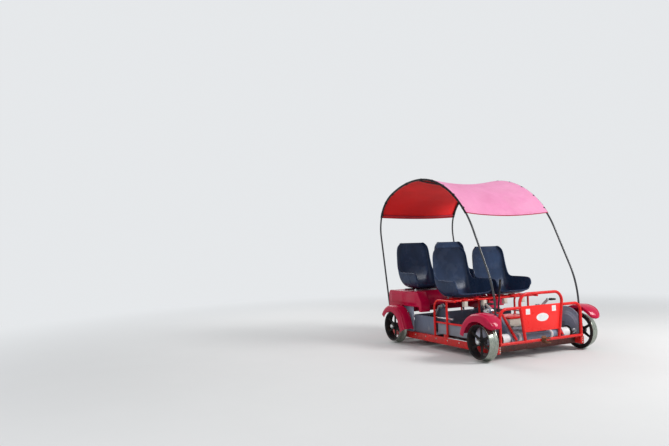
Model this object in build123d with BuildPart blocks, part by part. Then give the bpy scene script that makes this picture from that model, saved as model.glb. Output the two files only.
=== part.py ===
from build123d import *
from math import cos, radians, sin, sqrt, tan
import os

os.makedirs("parts", exist_ok=True)

# Pedal rail car for four riders. Millimetres. X is across the car, with the car's left at +X,
# +Y points to the rear and +Z up. Heights below are above the rail top and lengths are behind
# the front axle. At the end all pieces are moved so that the origin lies on the ground line of
# the wheel flanges, midway along the car.

# Clearances
SEAT_GAP = 0.3            # between a piece and what carries it
BEARING_GAP = 0.05        # radial, between a shaft and its bearing
MOVING_GAP = 6            # around a moving piece that isn't in a bearing
TUBE_SIDES = 16           # bent tubes are lofted with flat sides, to keep the mesh light

# Wheels and axles
TREAD_RADIUS = 188
FLANGE_HEIGHT = 22
FLANGE_WIDTH = 25
FLANGE_BACK = 686         # back of the flange from the centreline
WHEEL_FACE = 787          # outer face of the rim from the centreline
RIM_THICKNESS = 26
HUB_RADIUS = 40
HUB_LENGTH = 92
SPOKE_COUNT = 6
SPOKE_THICKNESS = 16
SPOKE_WIDTH_HUB = 36
SPOKE_WIDTH_RIM = 26
AXLE_RADIUS = 17.5
AXLE_END = 806
AXLE_CAP_RADIUS = 24
AXLE_CAP_LENGTH = 12
WHEELBASE = 1679

# Axle housings
AXLE_TUBE_RADIUS = 38
AXLE_TUBE_WALL = 5
COLLAR_X = 232
COLLAR_WIDTH = 34
COLLAR_RADIUS = 47
DRUM_RADIUS = 56
DRUM_LENGTH = 110

# Underframe
SILL_X = 630
SILL_WIDTH = 40
SILL_BOTTOM = 55
SILL_HEIGHT = 80
SILL_REAR = WHEELBASE + 296
CROSS_WIDTH = 60
BEARER_WIDTH = 40
BEARER_HEIGHT = 30

# Front guard frame
GUARD_Y = -125
GUARD_TUBE = 16.5
GUARD_LUG = 10            # thickness of the lugs bolted to the sill ends
CROSSBAR_Z = 157
CROSSBAR_HALF = 604
LOW_POST_X = 590
LOW_TOP_Z = 522
LOW_CORNER = 90
HOOP_FOOT_X = 245
HOOP_TOP_X = 325
HOOP_TOP_Z = 667
HOOP_CORNER = 105
PANEL_BOTTOM = 256
PANEL_TOP = 537
PANEL_THICKNESS = 3

# Rear guard frame
REAR_GUARD_X = 560
REAR_GUARD_TOP = 590
REAR_GUARD_BAR = 250

# Couplers
PIN_RADIUS = 9
COUPLER_REACH = 78        # pin ahead of the crossbar's centreline
COUPLER_EAR = 10
COUPLER_JAW = 34
COUPLER_WIDTH = 64
REAR_PIN_Y = WHEELBASE + 353
TONGUE_THICKNESS = 16

# Foot tubs
TUB_X = 611               # outer face of the side walls
TUB_WALL = 4
REAR_TUB_START = WHEELBASE - 669
REAR_TUB_END = WHEELBASE - 255
FRONT_TUB_START = 132
FRONT_TUB_END = REAR_TUB_START - 80
FRONT_TUB_TOP = 290
REAR_TUB_TOP = 350
SIDE_PANEL_END = WHEELBASE + 11

# Front seat frame
FRAME_TUBE = 13
FRAME_TOP_Z = 562
FRAME_REAR_POST = 965
FRAME_FRONT_POST = 725
FRAME_NOSE = 560
FRAME_BEND = 95
FRAME_CROSS = (625, 825)
FRAME_CROSS_TUBE = 12
STEP_START = 360
STEP_END = 705
STEP_THICKNESS = 5
SIDE_BAR = (640, REAR_TUB_START - 10, 352)
SIDE_BAR_RADIUS = 9
PAD_HEIGHT = 8
PAD_SIZE = 60
RAIL_HEIGHT = 18

# Seats
SEAT_WIDTH = 556
SEAT_SPACING = 54         # between the two seats of a row
SEAT_X = (SEAT_WIDTH + SEAT_SPACING) / 2
SEAT_WALL = 9
SEAT_TAPER = 48           # how far the pan is drawn in on each side
SEAT_LENGTH = 505
SEAT_LIP = 44
SEAT_WING = 212
SEAT_BACK_HEIGHT = 600
FRONT_SEAT_Y = 600
REAR_SEAT_Y = WHEELBASE - 279

# Rear cowl
COWL_X = 660
COWL_WALL = 6
COWL_TOP = 637
COWL_BOTTOM = 452
COWL_NOSE = WHEELBASE - 484
COWL_REAR = WHEELBASE + 251
COWL_SKIRT = 320          # bottom of the cowl behind the rear wheels
POD_INNER_X = 530
SEAT_RAIL_HEIGHT = 18

# Fenders
FENDER_OUTER_X = 825
FENDER_WALL = 4
FENDER_SKIRT = 46
FENDER_FLANGE = 36
FENDER_CROWN = 9
FENDER_TIP_PLACE = 0.45   # how much of what a narrowing fender loses is on its inner side

# Wheel guards
GUARD_DISC_RADIUS = 230
GUARD_DISC_Y = 115
GUARD_DISC_Z = 233
GUARD_DISC_X = 627
GUARD_DISC_WALL = 3
GUARD_DISH = 12

# Pedal consoles and cranks
CONSOLE_X = 370
CONSOLE_WIDTH = 30
REAR_CONSOLE_X = 345
CRANK_RADIUS = 130
CRANK_ARM = 12
CRANK_HALF = 60           # from the console's centre to an arm's centre
SPINDLE_RADIUS = 10
HEAD_RADIUS = 28
PEDAL_LENGTH = 92
PEDAL_WIDTH = 62
PEDAL_THICKNESS = 22
FRONT_CRANK_Y = 300
REAR_CRANK_Y = WHEELBASE - 483
FRONT_CRANK_Z = 462
REAR_CRANK_Z = 450

# Drive units
CASE_HALF = 140
CASE_START = 222
CASE_END = 520
CASE_BOTTOM = 282
CASE_TOP = 356
LID_THICKNESS = 20
SHAFT_TUBE = 16
SHAFT_Y = 440
SHAFT_Z = 240
CHAIN_CASE_X = 175
CHAIN_CASE_WIDTH = 44

# Brake lever
LEVER_Y = 575
LEVER_TOP = 790
LEVER_RADIUS = 10

# Canopy
BOW_X = 612
BOW_RADIUS = 11
BOW_FOOT_Y = -88
BOW_PEAK_Y = 1250
BOW_PEAK_Z = 2030
FRONT_LEAN = 64.5
FRONT_ARC = 1135
REAR_ARC = 1500
REAR_TURN = 25
CORNER_ARC = 500
LEG_HEADING = 100
KNEE_BEND = 1100
BOW_FOOT_PLATE = 6
BOW_FOOT_WIDTH = 33
BOW_FOOT_LENGTH = 52
CROSS_TUBE = 9
CROSS_TUBE_DROP = 1.5     # the tubes' centre below the bows' centre
FABRIC_WALL = 3
FABRIC_SAG = 58
FRONT_CHORDS = 8          # straight lengths of each arc, the same in the bows and the fabric
REAR_CHORDS = 4
CORNER_CHORDS = 5
FABRIC_FRONT = 54         # angle of the fabric's front edge ahead of the peak
FABRIC_CLEAR = 1.0        # more room over the bow, because the hem's section has flat sides
FABRIC_REAR = 20          # angle of the fabric's rear edge above the corner arc's level
CROSS_TUBE_SHIFT = 4      # angle from the fabric's edges in to the tubes under them

AXLE_Z = TREAD_RADIUS
SILL_TOP = SILL_BOTTOM + SILL_HEIGHT
TUB_FLOOR = SILL_TOP + BEARER_HEIGHT
SIDES = (("left", 1), ("right", -1))
AXLES = (("front", 0), ("rear", WHEELBASE))
pieces = []


def keep(shape, name):
    """Put a finished piece with the others, to be placed and written at the end."""
    shape.label = name
    pieces.append(shape)


def side_plane(x):
    """Sketch plane at x, with local x to the rear and local y up."""
    return Plane(origin=(x, 0, 0), x_dir=(0, 1, 0), z_dir=(1, 0, 0))


def bent(points, radius, chords=3):
    """Points of a bar bent to a radius at each inner corner, each bend as a few chords."""
    line = [Vector(*point) for point in points]
    result = [line[0]]
    for before, corner, after in zip(line, line[1:], line[2:]):
        arrive = (corner - before).normalized()
        leave = (after - corner).normalized()
        turn = radians(arrive.get_angle(leave))
        cut = radius * tan(turn / 2)
        across = (leave - arrive * cos(turn)).normalized()
        start = corner - arrive * cut
        for step in range(chords + 1):
            angle = turn * step / chords
            result.append(start + arrive * (radius * sin(angle)) + across * (radius * (1 - cos(angle))))
    result.append(line[-1])
    return [(point.X, point.Y) for point in result]


def arc_points(centre, radius, start, end, chords):
    """Points of an arc from start to end degrees, end included."""
    result = []
    for step in range(chords + 1):
        angle = radians(start + (end - start) * step / chords)
        result.append((centre[0] + radius * cos(angle), centre[1] + radius * sin(angle)))
    return result


def tube_along(plane, points, radius):
    """Loft a bar of TUBE_SIDES sides along points of a plane, inside the current part."""
    spots = [Vector(*point) for point in points]
    heads = [(after - before).normalized() for before, after in zip(spots, spots[1:])]
    stations = []
    for place, spot in enumerate(spots):
        head = (heads[max(place - 1, 0)] + heads[min(place, len(heads) - 1)]).normalized()
        origin = plane.from_local_coords(Vector(spot.X, spot.Y, 0))
        tip = plane.from_local_coords(Vector(spot.X + head.X, spot.Y + head.Y, 0))
        station = Plane(origin=origin, x_dir=plane.z_dir, z_dir=tip - origin)
        with BuildSketch(station) as ring:
            RegularPolygon(radius, TUBE_SIDES)
        stations.append(ring.sketch)
    loft(stations, ruled=True)


# Wheels and axles
def wheel(side, axle_y):
    flange_radius = TREAD_RADIUS + FLANGE_HEIGHT
    rim_inside = TREAD_RADIUS - RIM_THICKNESS
    rim_middle = (FLANGE_BACK + WHEEL_FACE) / 2
    outboard = Plane(origin=(0, axle_y, AXLE_Z), x_dir=(side, 0, 0), z_dir=(0, -side, 0))
    axle = Axis((0, axle_y, AXLE_Z), (1, 0, 0))
    spoke_plane = Plane(
        origin=(side * rim_middle, axle_y, AXLE_Z), x_dir=(0, 1, 0), z_dir=(1, 0, 0)
    )
    with BuildPart() as made:
        with BuildSketch(outboard):
            with BuildLine():
                Polyline(
                    (FLANGE_BACK, rim_inside),
                    (FLANGE_BACK, flange_radius - 8),
                    (FLANGE_BACK + 6, flange_radius),
                    (FLANGE_BACK + FLANGE_WIDTH - 11, flange_radius),
                    (FLANGE_BACK + FLANGE_WIDTH, TREAD_RADIUS + 5),
                    (FLANGE_BACK + FLANGE_WIDTH + 6, TREAD_RADIUS),
                    (WHEEL_FACE - 4, TREAD_RADIUS - 3),
                    (WHEEL_FACE, TREAD_RADIUS - 7),
                    (WHEEL_FACE, rim_inside),
                    close=True,
                )
            make_face()
        revolve(axis=axle)
        with BuildSketch(outboard):
            with Locations((rim_middle, (HUB_RADIUS + AXLE_RADIUS + SEAT_GAP) / 2)):
                Rectangle(HUB_LENGTH, HUB_RADIUS - AXLE_RADIUS - SEAT_GAP)
        revolve(axis=axle)
        with BuildSketch(spoke_plane):
            with PolarLocations(0, SPOKE_COUNT, start_angle=90):
                with BuildLine():
                    Polyline(
                        (HUB_RADIUS - 6, -SPOKE_WIDTH_HUB / 2),
                        (rim_inside + 3, -SPOKE_WIDTH_RIM / 2),
                        (rim_inside + 3, SPOKE_WIDTH_RIM / 2),
                        (HUB_RADIUS - 6, SPOKE_WIDTH_HUB / 2),
                        close=True,
                    )
                make_face()
        extrude(amount=SPOKE_THICKNESS / 2, both=True)
    return made.part


def axle_shaft(axle_y):
    across = Plane(origin=(0, axle_y, AXLE_Z), x_dir=(0, 1, 0), z_dir=(1, 0, 0))
    with BuildPart() as made:
        with BuildSketch(across):
            Circle(AXLE_RADIUS)
        extrude(amount=AXLE_END, both=True)
        for _, side in SIDES:
            with BuildSketch(across.offset(side * (AXLE_END - AXLE_CAP_LENGTH / 2))):
                RegularPolygon(AXLE_CAP_RADIUS, 6)
            extrude(amount=AXLE_CAP_LENGTH / 2, both=True)
    return made.part


for axle_name, axle_y in AXLES:
    keep(axle_shaft(axle_y), f"{axle_name}_axle")
    for side_name, side in SIDES:
        keep(wheel(side, axle_y), f"{axle_name}_wheel_{side_name}")


# Axle tubes between the consoles, and the drums that hold the axles
CONSOLE_INNER = CONSOLE_X - CONSOLE_WIDTH / 2
CONSOLE_OUTER = CONSOLE_X + CONSOLE_WIDTH / 2
for axle_name, axle_y in AXLES:
    across = Plane(origin=(0, axle_y, AXLE_Z), x_dir=(0, 1, 0), z_dir=(1, 0, 0))
    with BuildPart() as axle_tube:
        with BuildSketch(across):
            Circle(AXLE_TUBE_RADIUS)
            Circle(AXLE_TUBE_RADIUS - AXLE_TUBE_WALL, mode=Mode.SUBTRACT)
        extrude(amount=CONSOLE_INNER - SEAT_GAP, both=True)
    keep(axle_tube.part, f"{axle_name}_axle_tube")

    with BuildPart() as drums:
        for _, side in SIDES:
            drum_start = side * (CONSOLE_OUTER + SEAT_GAP)
            with BuildSketch(across.offset(drum_start)):
                Circle(DRUM_RADIUS)
                Circle(AXLE_RADIUS + BEARING_GAP, mode=Mode.SUBTRACT)
            extrude(amount=side * DRUM_LENGTH)
            with BuildSketch(across.offset(side * COLLAR_X)):
                Circle(COLLAR_RADIUS)
                with Locations((0, -DRUM_RADIUS / 2)):
                    Rectangle(1.4 * COLLAR_RADIUS, DRUM_RADIUS)
                Circle(AXLE_TUBE_RADIUS + SEAT_GAP, mode=Mode.SUBTRACT)
            extrude(amount=COLLAR_WIDTH / 2, both=True)
    keep(drums.part, f"{axle_name}_axle_drums")


# Underframe: two sills, cross members and the bearers of the foot tubs
SILL_FRONT = GUARD_Y + GUARD_TUBE + SEAT_GAP
CROSS_PLACES = (0, 560, REAR_TUB_START + 170, WHEELBASE, SILL_REAR - CROSS_WIDTH / 2)
BEARER_PLACES = (250, 800)
CROSS_HALF = SILL_X - SILL_WIDTH / 2
CROSS_TOP = AXLE_Z - DRUM_RADIUS - SEAT_GAP
with BuildPart() as underframe:
    for _, side in SIDES:
        with BuildSketch(Plane.XY.offset(SILL_BOTTOM)):
            with Locations((side * SILL_X, (SILL_FRONT + SILL_REAR) / 2)):
                Rectangle(SILL_WIDTH, SILL_REAR - SILL_FRONT)
        extrude(amount=SILL_HEIGHT)
    with BuildSketch(Plane.XY.offset(SILL_BOTTOM)):
        for place in CROSS_PLACES:
            with Locations((0, place)):
                Rectangle(2 * CROSS_HALF, CROSS_WIDTH)
    extrude(amount=CROSS_TOP - SILL_BOTTOM)
    with BuildSketch(Plane.XY.offset(SILL_TOP)):
        for place in BEARER_PLACES:
            with Locations((0, place)):
                Rectangle(2 * (GUARD_DISC_X - GUARD_DISH - SEAT_GAP), BEARER_WIDTH)
    extrude(amount=BEARER_HEIGHT)
keep(underframe.part, "underframe")


# Front guard: crossbar, two low side bays and the taller middle hoop
guard_plane = Plane(origin=(0, GUARD_Y, 0), x_dir=(1, 0, 0), z_dir=(0, -1, 0))


def hoop_x(height):
    """Half width of the hoop's centreline at a height."""
    share = (height - CROSSBAR_Z) / (HOOP_TOP_Z - CROSSBAR_Z)
    return HOOP_FOOT_X + (HOOP_TOP_X - HOOP_FOOT_X) * share


with BuildPart() as guard:
    tube_along(guard_plane, ((-CROSSBAR_HALF, CROSSBAR_Z), (CROSSBAR_HALF, CROSSBAR_Z)), GUARD_TUBE)
    hoop = (
        (-HOOP_FOOT_X, CROSSBAR_Z),
        (-HOOP_TOP_X, HOOP_TOP_Z),
        (HOOP_TOP_X, HOOP_TOP_Z),
        (HOOP_FOOT_X, CROSSBAR_Z),
    )
    tube_along(guard_plane, bent(hoop, HOOP_CORNER, 4), GUARD_TUBE)
    for _, side in SIDES:
        low_bar = (
            (side * LOW_POST_X, CROSSBAR_Z),
            (side * LOW_POST_X, LOW_TOP_Z),
            (side * hoop_x(LOW_TOP_Z), LOW_TOP_Z),
        )
        tube_along(guard_plane, bent(low_bar, LOW_CORNER, 4), GUARD_TUBE)
        with BuildSketch(Plane.XY.offset(SILL_BOTTOM + 5)):
            with Locations((side * (SILL_X - 24), SILL_FRONT - SEAT_GAP - GUARD_LUG / 2)):
                Rectangle(40, GUARD_LUG)
        extrude(amount=CROSSBAR_Z - SILL_BOTTOM - 5)
keep(guard.part, "front_guard_frame")

with BuildPart() as sign_panel:
    with BuildSketch(guard_plane.offset(-PANEL_THICKNESS / 2)):
        with BuildLine():
            corners = []
            for height in (PANEL_BOTTOM, PANEL_TOP):
                corners.append((hoop_x(height) - GUARD_TUBE - 2 * SEAT_GAP, height))
            Polyline(
                (-corners[0][0], PANEL_BOTTOM),
                corners[0],
                corners[1],
                (-corners[1][0], PANEL_TOP),
                close=True,
            )
        make_face()
    extrude(amount=PANEL_THICKNESS)
keep(sign_panel.part, "sign_panel")


# Couplers: a clevis in front and a tongue behind, for one upright pin each
FRONT_PIN_Y = GUARD_Y - COUPLER_REACH
jaw_half = COUPLER_JAW / 2
ear_start = GUARD_Y - GUARD_TUBE - SEAT_GAP
with BuildPart() as front_coupler:
    with BuildSketch(side_plane(0)):
        with BuildLine():
            Polyline(
                (ear_start, CROSSBAR_Z - jaw_half - COUPLER_EAR),
                (FRONT_PIN_Y - COUPLER_WIDTH / 2, CROSSBAR_Z - jaw_half - COUPLER_EAR),
                (FRONT_PIN_Y - COUPLER_WIDTH / 2, CROSSBAR_Z - jaw_half),
                (ear_start - COUPLER_EAR, CROSSBAR_Z - jaw_half),
                (ear_start - COUPLER_EAR, CROSSBAR_Z + jaw_half),
                (FRONT_PIN_Y - COUPLER_WIDTH / 2, CROSSBAR_Z + jaw_half),
                (FRONT_PIN_Y - COUPLER_WIDTH / 2, CROSSBAR_Z + jaw_half + COUPLER_EAR),
                (ear_start - COUPLER_EAR, CROSSBAR_Z + jaw_half + COUPLER_EAR),
                (ear_start, CROSSBAR_Z + jaw_half + 3 * COUPLER_EAR),
                close=True,
            )
        make_face()
    extrude(amount=COUPLER_WIDTH / 2, both=True)
    nose_edges = front_coupler.edges().filter_by(Axis.Z).group_by(Axis.Y)[0]
    fillet(nose_edges, radius=COUPLER_WIDTH / 2 - 2)
    with BuildSketch(Plane(origin=(0, FRONT_PIN_Y, CROSSBAR_Z))):
        Circle(PIN_RADIUS)
    extrude(amount=COUPLER_JAW, both=True, mode=Mode.SUBTRACT)
keep(front_coupler.part, "front_coupler")

tongue_start = SILL_REAR + SEAT_GAP
tongue_top = CROSSBAR_Z + TONGUE_THICKNESS / 2
with BuildPart() as rear_coupler:
    with BuildSketch(side_plane(0)):
        with BuildLine():
            Polyline(
                (tongue_start, SILL_BOTTOM + 8),
                (tongue_start + 12, SILL_BOTTOM + 8),
                (tongue_start + 12, tongue_top - TONGUE_THICKNESS),
                (REAR_PIN_Y + COUPLER_WIDTH / 2, tongue_top - TONGUE_THICKNESS),
                (REAR_PIN_Y + COUPLER_WIDTH / 2, tongue_top),
                (tongue_start, tongue_top),
                close=True,
            )
        make_face()
    extrude(amount=COUPLER_WIDTH / 2, both=True)
    tongue_edges = rear_coupler.edges().filter_by(Axis.Z).group_by(Axis.Y)[-1]
    fillet(tongue_edges, radius=COUPLER_WIDTH / 2 - 2)
    with BuildSketch(Plane(origin=(0, REAR_PIN_Y, CROSSBAR_Z))):
        Circle(PIN_RADIUS)
    extrude(amount=TONGUE_THICKNESS, both=True, mode=Mode.SUBTRACT)
keep(rear_coupler.part, "rear_coupler")


# Foot tubs: pressed trays with upright sides
with BuildPart() as front_tub:
    with BuildSketch(Plane.XY.offset(TUB_FLOOR + SEAT_GAP)):
        with Locations((0, (FRONT_TUB_START + FRONT_TUB_END) / 2)):
            Rectangle(2 * TUB_X, FRONT_TUB_END - FRONT_TUB_START)
    extrude(amount=FRONT_TUB_TOP - TUB_FLOOR - SEAT_GAP)
    with BuildSketch(Plane.XY.offset(TUB_FLOOR + SEAT_GAP + TUB_WALL)):
        with Locations((0, (FRONT_TUB_START + FRONT_TUB_END) / 2)):
            Rectangle(2 * (TUB_X - TUB_WALL), FRONT_TUB_END - FRONT_TUB_START)
    extrude(amount=FRONT_TUB_TOP, mode=Mode.SUBTRACT)
keep(front_tub.part, "front_foot_tub")

rear_tub_floor = SILL_TOP + SEAT_GAP
with BuildPart() as rear_tub:
    with BuildSketch(Plane.XY.offset(rear_tub_floor)):
        with Locations((0, (REAR_TUB_START + REAR_TUB_END) / 2)):
            Rectangle(2 * TUB_X, REAR_TUB_END - REAR_TUB_START)
    extrude(amount=REAR_TUB_TOP - rear_tub_floor)
    with BuildSketch(Plane.XY.offset(rear_tub_floor + TUB_WALL)):
        with Locations((0, (REAR_TUB_START + REAR_TUB_END - 2 * TUB_WALL) / 2)):
            Rectangle(2 * (TUB_X - TUB_WALL), REAR_TUB_END - REAR_TUB_START)
    extrude(amount=REAR_TUB_TOP, mode=Mode.SUBTRACT)
keep(rear_tub.part, "rear_foot_tub")


# Front seat frame: a side hoop each side, a middle hoop, cross tubes and pads
with BuildPart() as seat_frame:
    for hoop_place in (-SILL_X, 0, SILL_X):
        foot = SILL_TOP + SEAT_GAP if hoop_place else TUB_FLOOR + SEAT_GAP + TUB_WALL + SEAT_GAP
        rear_post = FRAME_REAR_POST if hoop_place else FRONT_TUB_END - 2 * FRAME_TUBE
        bend = FRAME_BEND if hoop_place else FRAME_BEND - 35
        seat_hoop = ((rear_post, foot), (rear_post, FRAME_TOP_Z), (FRAME_NOSE, FRAME_TOP_Z))
        tube_along(side_plane(hoop_place), bent(seat_hoop, bend), FRAME_TUBE)
        front_post = ((FRAME_FRONT_POST, foot), (FRAME_FRONT_POST, FRAME_TOP_Z))
        tube_along(side_plane(hoop_place), front_post, FRAME_TUBE)
    for place in FRAME_CROSS:
        cross_tube = ((-SILL_X, place), (SILL_X, place))
        tube_along(Plane.XY.offset(FRAME_TOP_Z), cross_tube, FRAME_CROSS_TUBE)
    with BuildSketch(Plane.XY.offset(FRAME_TOP_Z + FRAME_TUBE - 4)):
        for place in FRAME_CROSS:
            with GridLocations(2 * SEAT_X - PAD_SIZE, 1, 2, 1):
                with Locations((0, place)):
                    Rectangle(PAD_SIZE, PAD_SIZE)
            with GridLocations(2 * SEAT_X + 5 * PAD_SIZE, 1, 2, 1):
                with Locations((0, place)):
                    Rectangle(PAD_SIZE, PAD_SIZE)
    extrude(amount=PAD_HEIGHT + 4)
    for _, side in SIDES:
        rail_x = side * (SILL_X - FRAME_TUBE / 2 - 10)
        with BuildSketch(Plane.XY.offset(FRONT_TUB_TOP + SEAT_GAP)):
            with Locations((rail_x, (420 + FRAME_REAR_POST) / 2)):
                Rectangle(28, FRAME_REAR_POST - 420)
        extrude(amount=RAIL_HEIGHT)
keep(seat_frame.part, "front_seat_frame")
FRONT_SEAT_Z = FRAME_TOP_Z + FRAME_TUBE + PAD_HEIGHT + SEAT_GAP


with BuildPart() as step_plates:
    for _, side in SIDES:
        with BuildSketch(Plane.XY.offset(SILL_TOP + SEAT_GAP)):
            with Locations((side * (GUARD_DISC_X + 11), (STEP_START + STEP_END) / 2)):
                Rectangle(22, STEP_END - STEP_START)
        extrude(amount=STEP_THICKNESS)
keep(step_plates.part, "step_plates")

with BuildPart() as side_bars:
    for _, side in SIDES:
        bar_x = side * (SILL_X - FRAME_TUBE - SIDE_BAR_RADIUS - SEAT_GAP)
        side_bar = ((SIDE_BAR[0], SIDE_BAR[2]), (SIDE_BAR[1], SIDE_BAR[2]))
        tube_along(side_plane(bar_x), side_bar, SIDE_BAR_RADIUS)
keep(side_bars.part, "seat_side_bars")


# Seats: one moulded bucket with a tapered pan, side wings and an upright back
def seat_form(x, base_z, profile, inset):
    """Side profile across the seat, trimmed to the seat's outline in front view less an inset."""
    half = SEAT_WIDTH / 2 - inset
    top = base_z + SEAT_BACK_HEIGHT - inset
    half_outline = (
        (half - SEAT_TAPER, base_z - 1),
        (half, base_z + SEAT_WING - 10),
        (half, base_z + SEAT_WING + 40),
        (half - 26, top - 70),
        (half - 90, top),
    )
    with BuildPart() as form:
        with BuildSketch(side_plane(x - half)):
            with BuildLine():
                Polyline(*profile, close=True)
            make_face()
        extrude(amount=2 * half)
        with BuildSketch(Plane(origin=(x, 0, 0), x_dir=(1, 0, 0), z_dir=(0, -1, 0))):
            with BuildLine():
                mirrored = [(-across, height) for across, height in reversed(half_outline)]
                Polyline(*half_outline, *mirrored, close=True)
            make_face()
        extrude(amount=2 * WHEELBASE, both=True, mode=Mode.INTERSECT)
    return form.part


def bucket_seat(x, nose_y, base_z):
    rear_y = nose_y + SEAT_LENGTH
    over_top = base_z + SEAT_BACK_HEIGHT + 30
    shell = (
        (nose_y + 6, base_z + 78),
        (nose_y + 40, base_z),
        (nose_y + 330, base_z),
        (nose_y + 455, base_z + 120),
        (rear_y - 22, base_z + 225),
        (rear_y, over_top),
        (rear_y - SEAT_LIP, over_top),
        (rear_y - SEAT_LIP - 42, base_z + SEAT_WING + 66),
        (rear_y - SEAT_LIP - 90, base_z + SEAT_WING),
        (nose_y + 60, base_z + SEAT_WING - 6),
        (nose_y, base_z + SEAT_WING - 40),
    )
    hollow = (
        (nose_y - 40, base_z + 70),
        (nose_y + 70, base_z + 22),
        (nose_y + 318, base_z + SEAT_WALL),
        (nose_y + 440, base_z + 124),
        (rear_y - 22 - SEAT_WALL, base_z + 228),
        (rear_y - SEAT_WALL, over_top),
        (nose_y - 40, over_top),
    )
    with BuildPart() as made:
        add(seat_form(x, base_z, shell, 0))
        add(seat_form(x, base_z, hollow, SEAT_WALL), mode=Mode.SUBTRACT)
    return made.part


SEAT_ROWS = (
    ("front", FRONT_SEAT_Y, FRONT_SEAT_Z),
    ("rear", REAR_SEAT_Y, COWL_TOP + SEAT_RAIL_HEIGHT + 2 * SEAT_GAP),
)
for row_name, nose_y, base_z in SEAT_ROWS:
    for side_name, side in SIDES:
        keep(bucket_seat(side * SEAT_X, nose_y, base_z), f"{row_name}_seat_{side_name}")


# Rear cowl: a moulded box under the rear seats, with a pod running forward on each side
def cowl_outline(inset):
    return (
        (COWL_NOSE + inset, 507),
        (COWL_NOSE + 75 + inset, COWL_TOP - 17 - inset),
        (COWL_NOSE + 95 + inset, COWL_TOP - inset),
        (COWL_REAR - 30 - inset, COWL_TOP - inset),
        (COWL_REAR - inset, COWL_TOP - 40 - inset),
        (COWL_REAR - inset, COWL_SKIRT),
        (SIDE_PANEL_END, COWL_SKIRT),
        (SIDE_PANEL_END, COWL_BOTTOM),
        (COWL_NOSE + 60 + inset, COWL_BOTTOM),
        (COWL_NOSE + 50 + inset, 395),
        (COWL_NOSE + inset, 395),
    )


with BuildPart() as cowl:
    with BuildSketch(side_plane(-COWL_X)):
        with BuildLine():
            Polyline(*cowl_outline(0), close=True)
        make_face()
    extrude(amount=2 * COWL_X)
    with BuildSketch(Plane.XY):
        with Locations((0, REAR_TUB_END / 2 + SEAT_GAP)):
            Rectangle(2 * POD_INNER_X, REAR_TUB_END)
    extrude(amount=COWL_TOP, mode=Mode.SUBTRACT)
    with BuildSketch(side_plane(-COWL_X + COWL_WALL)):
        with BuildLine():
            Polyline(
                (REAR_TUB_END + COWL_WALL, COWL_SKIRT - 100),
                (REAR_TUB_END + COWL_WALL, COWL_TOP - COWL_WALL),
                (COWL_REAR - 36, COWL_TOP - COWL_WALL),
                (COWL_REAR - COWL_WALL, COWL_TOP - 48),
                (COWL_REAR - COWL_WALL, COWL_SKIRT - 100),
                close=True,
            )
        make_face()
    extrude(amount=2 * (COWL_X - COWL_WALL), mode=Mode.SUBTRACT)
    for _, side in SIDES:
        pod_start = side * (POD_INNER_X + COWL_WALL)
        with BuildSketch(side_plane(pod_start)):
            with BuildLine():
                Polyline(
                    (COWL_NOSE + 8, 380),
                    (COWL_NOSE + 8, 507),
                    (COWL_NOSE + 100, COWL_TOP - COWL_WALL),
                    (REAR_TUB_END + COWL_WALL + 1, COWL_TOP - COWL_WALL),
                    (REAR_TUB_END + COWL_WALL + 1, 380),
                    close=True,
                )
            make_face()
        extrude(amount=side * (COWL_X - POD_INNER_X - 2 * COWL_WALL), mode=Mode.SUBTRACT)
keep(cowl.part, "rear_cowl")

with BuildPart() as seat_rails:
    with BuildSketch(Plane.XY.offset(COWL_TOP + SEAT_GAP)):
        for place in (REAR_SEAT_Y + 70, REAR_SEAT_Y + 330):
            with Locations((0, place)):
                Rectangle(2 * SEAT_X + SEAT_WIDTH - 60, 45)
    extrude(amount=SEAT_RAIL_HEIGHT)
keep(seat_rails.part, "rear_seat_rails")

panel_start = REAR_TUB_END + COWL_WALL + SEAT_GAP
panel_top = COWL_TOP - COWL_WALL - SEAT_GAP
with BuildPart() as side_panels:
    for _, side in SIDES:
        with BuildSketch(side_plane(side * TUB_X)):
            with BuildLine():
                Polyline(
                    (panel_start, SILL_TOP + SEAT_GAP),
                    (SIDE_PANEL_END - 40, SILL_TOP + SEAT_GAP),
                    (SIDE_PANEL_END - 40, panel_top),
                    (panel_start, panel_top),
                    close=True,
                )
            make_face()
        extrude(amount=side * TUB_WALL)
        with BuildSketch(Plane.XY.offset(SILL_TOP + SEAT_GAP)):
            with Locations((side * (TUB_X + 16), (panel_start + SIDE_PANEL_END - 40) / 2)):
                Rectangle(32, SIDE_PANEL_END - 40 - panel_start)
        extrude(amount=TUB_WALL)
keep(side_panels.part, "rear_side_panels")


# Fenders: a crowned band with an outer skirt and an inner flange, lofted over the wheel
def band_outline(width, share):
    """Section of the band: local x is outboard from the inner edge and local y is outwards.

    The flange and the skirt shrink with the share of the full width."""
    wall = FENDER_WALL
    flange = -10 - (FENDER_FLANGE - 10) * share
    foot = -34 - (FENDER_SKIRT - 4) * share
    return (
        (0, flange),
        (wall, flange),
        (wall, -10),
        (14, -wall),
        (width * 0.38, FENDER_CROWN - wall),
        (width * 0.64, FENDER_CROWN - wall - 1),
        (width - wall - 18 * share, -13),
        (width - wall, -33),
        (width - wall, foot),
        (width, foot),
        (width, -32),
        (width - 17 * share, -8),
        (width * 0.66, FENDER_CROWN - 1),
        (width * 0.36, FENDER_CROWN),
        (12, 0),
        (0, -8),
    )


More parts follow.
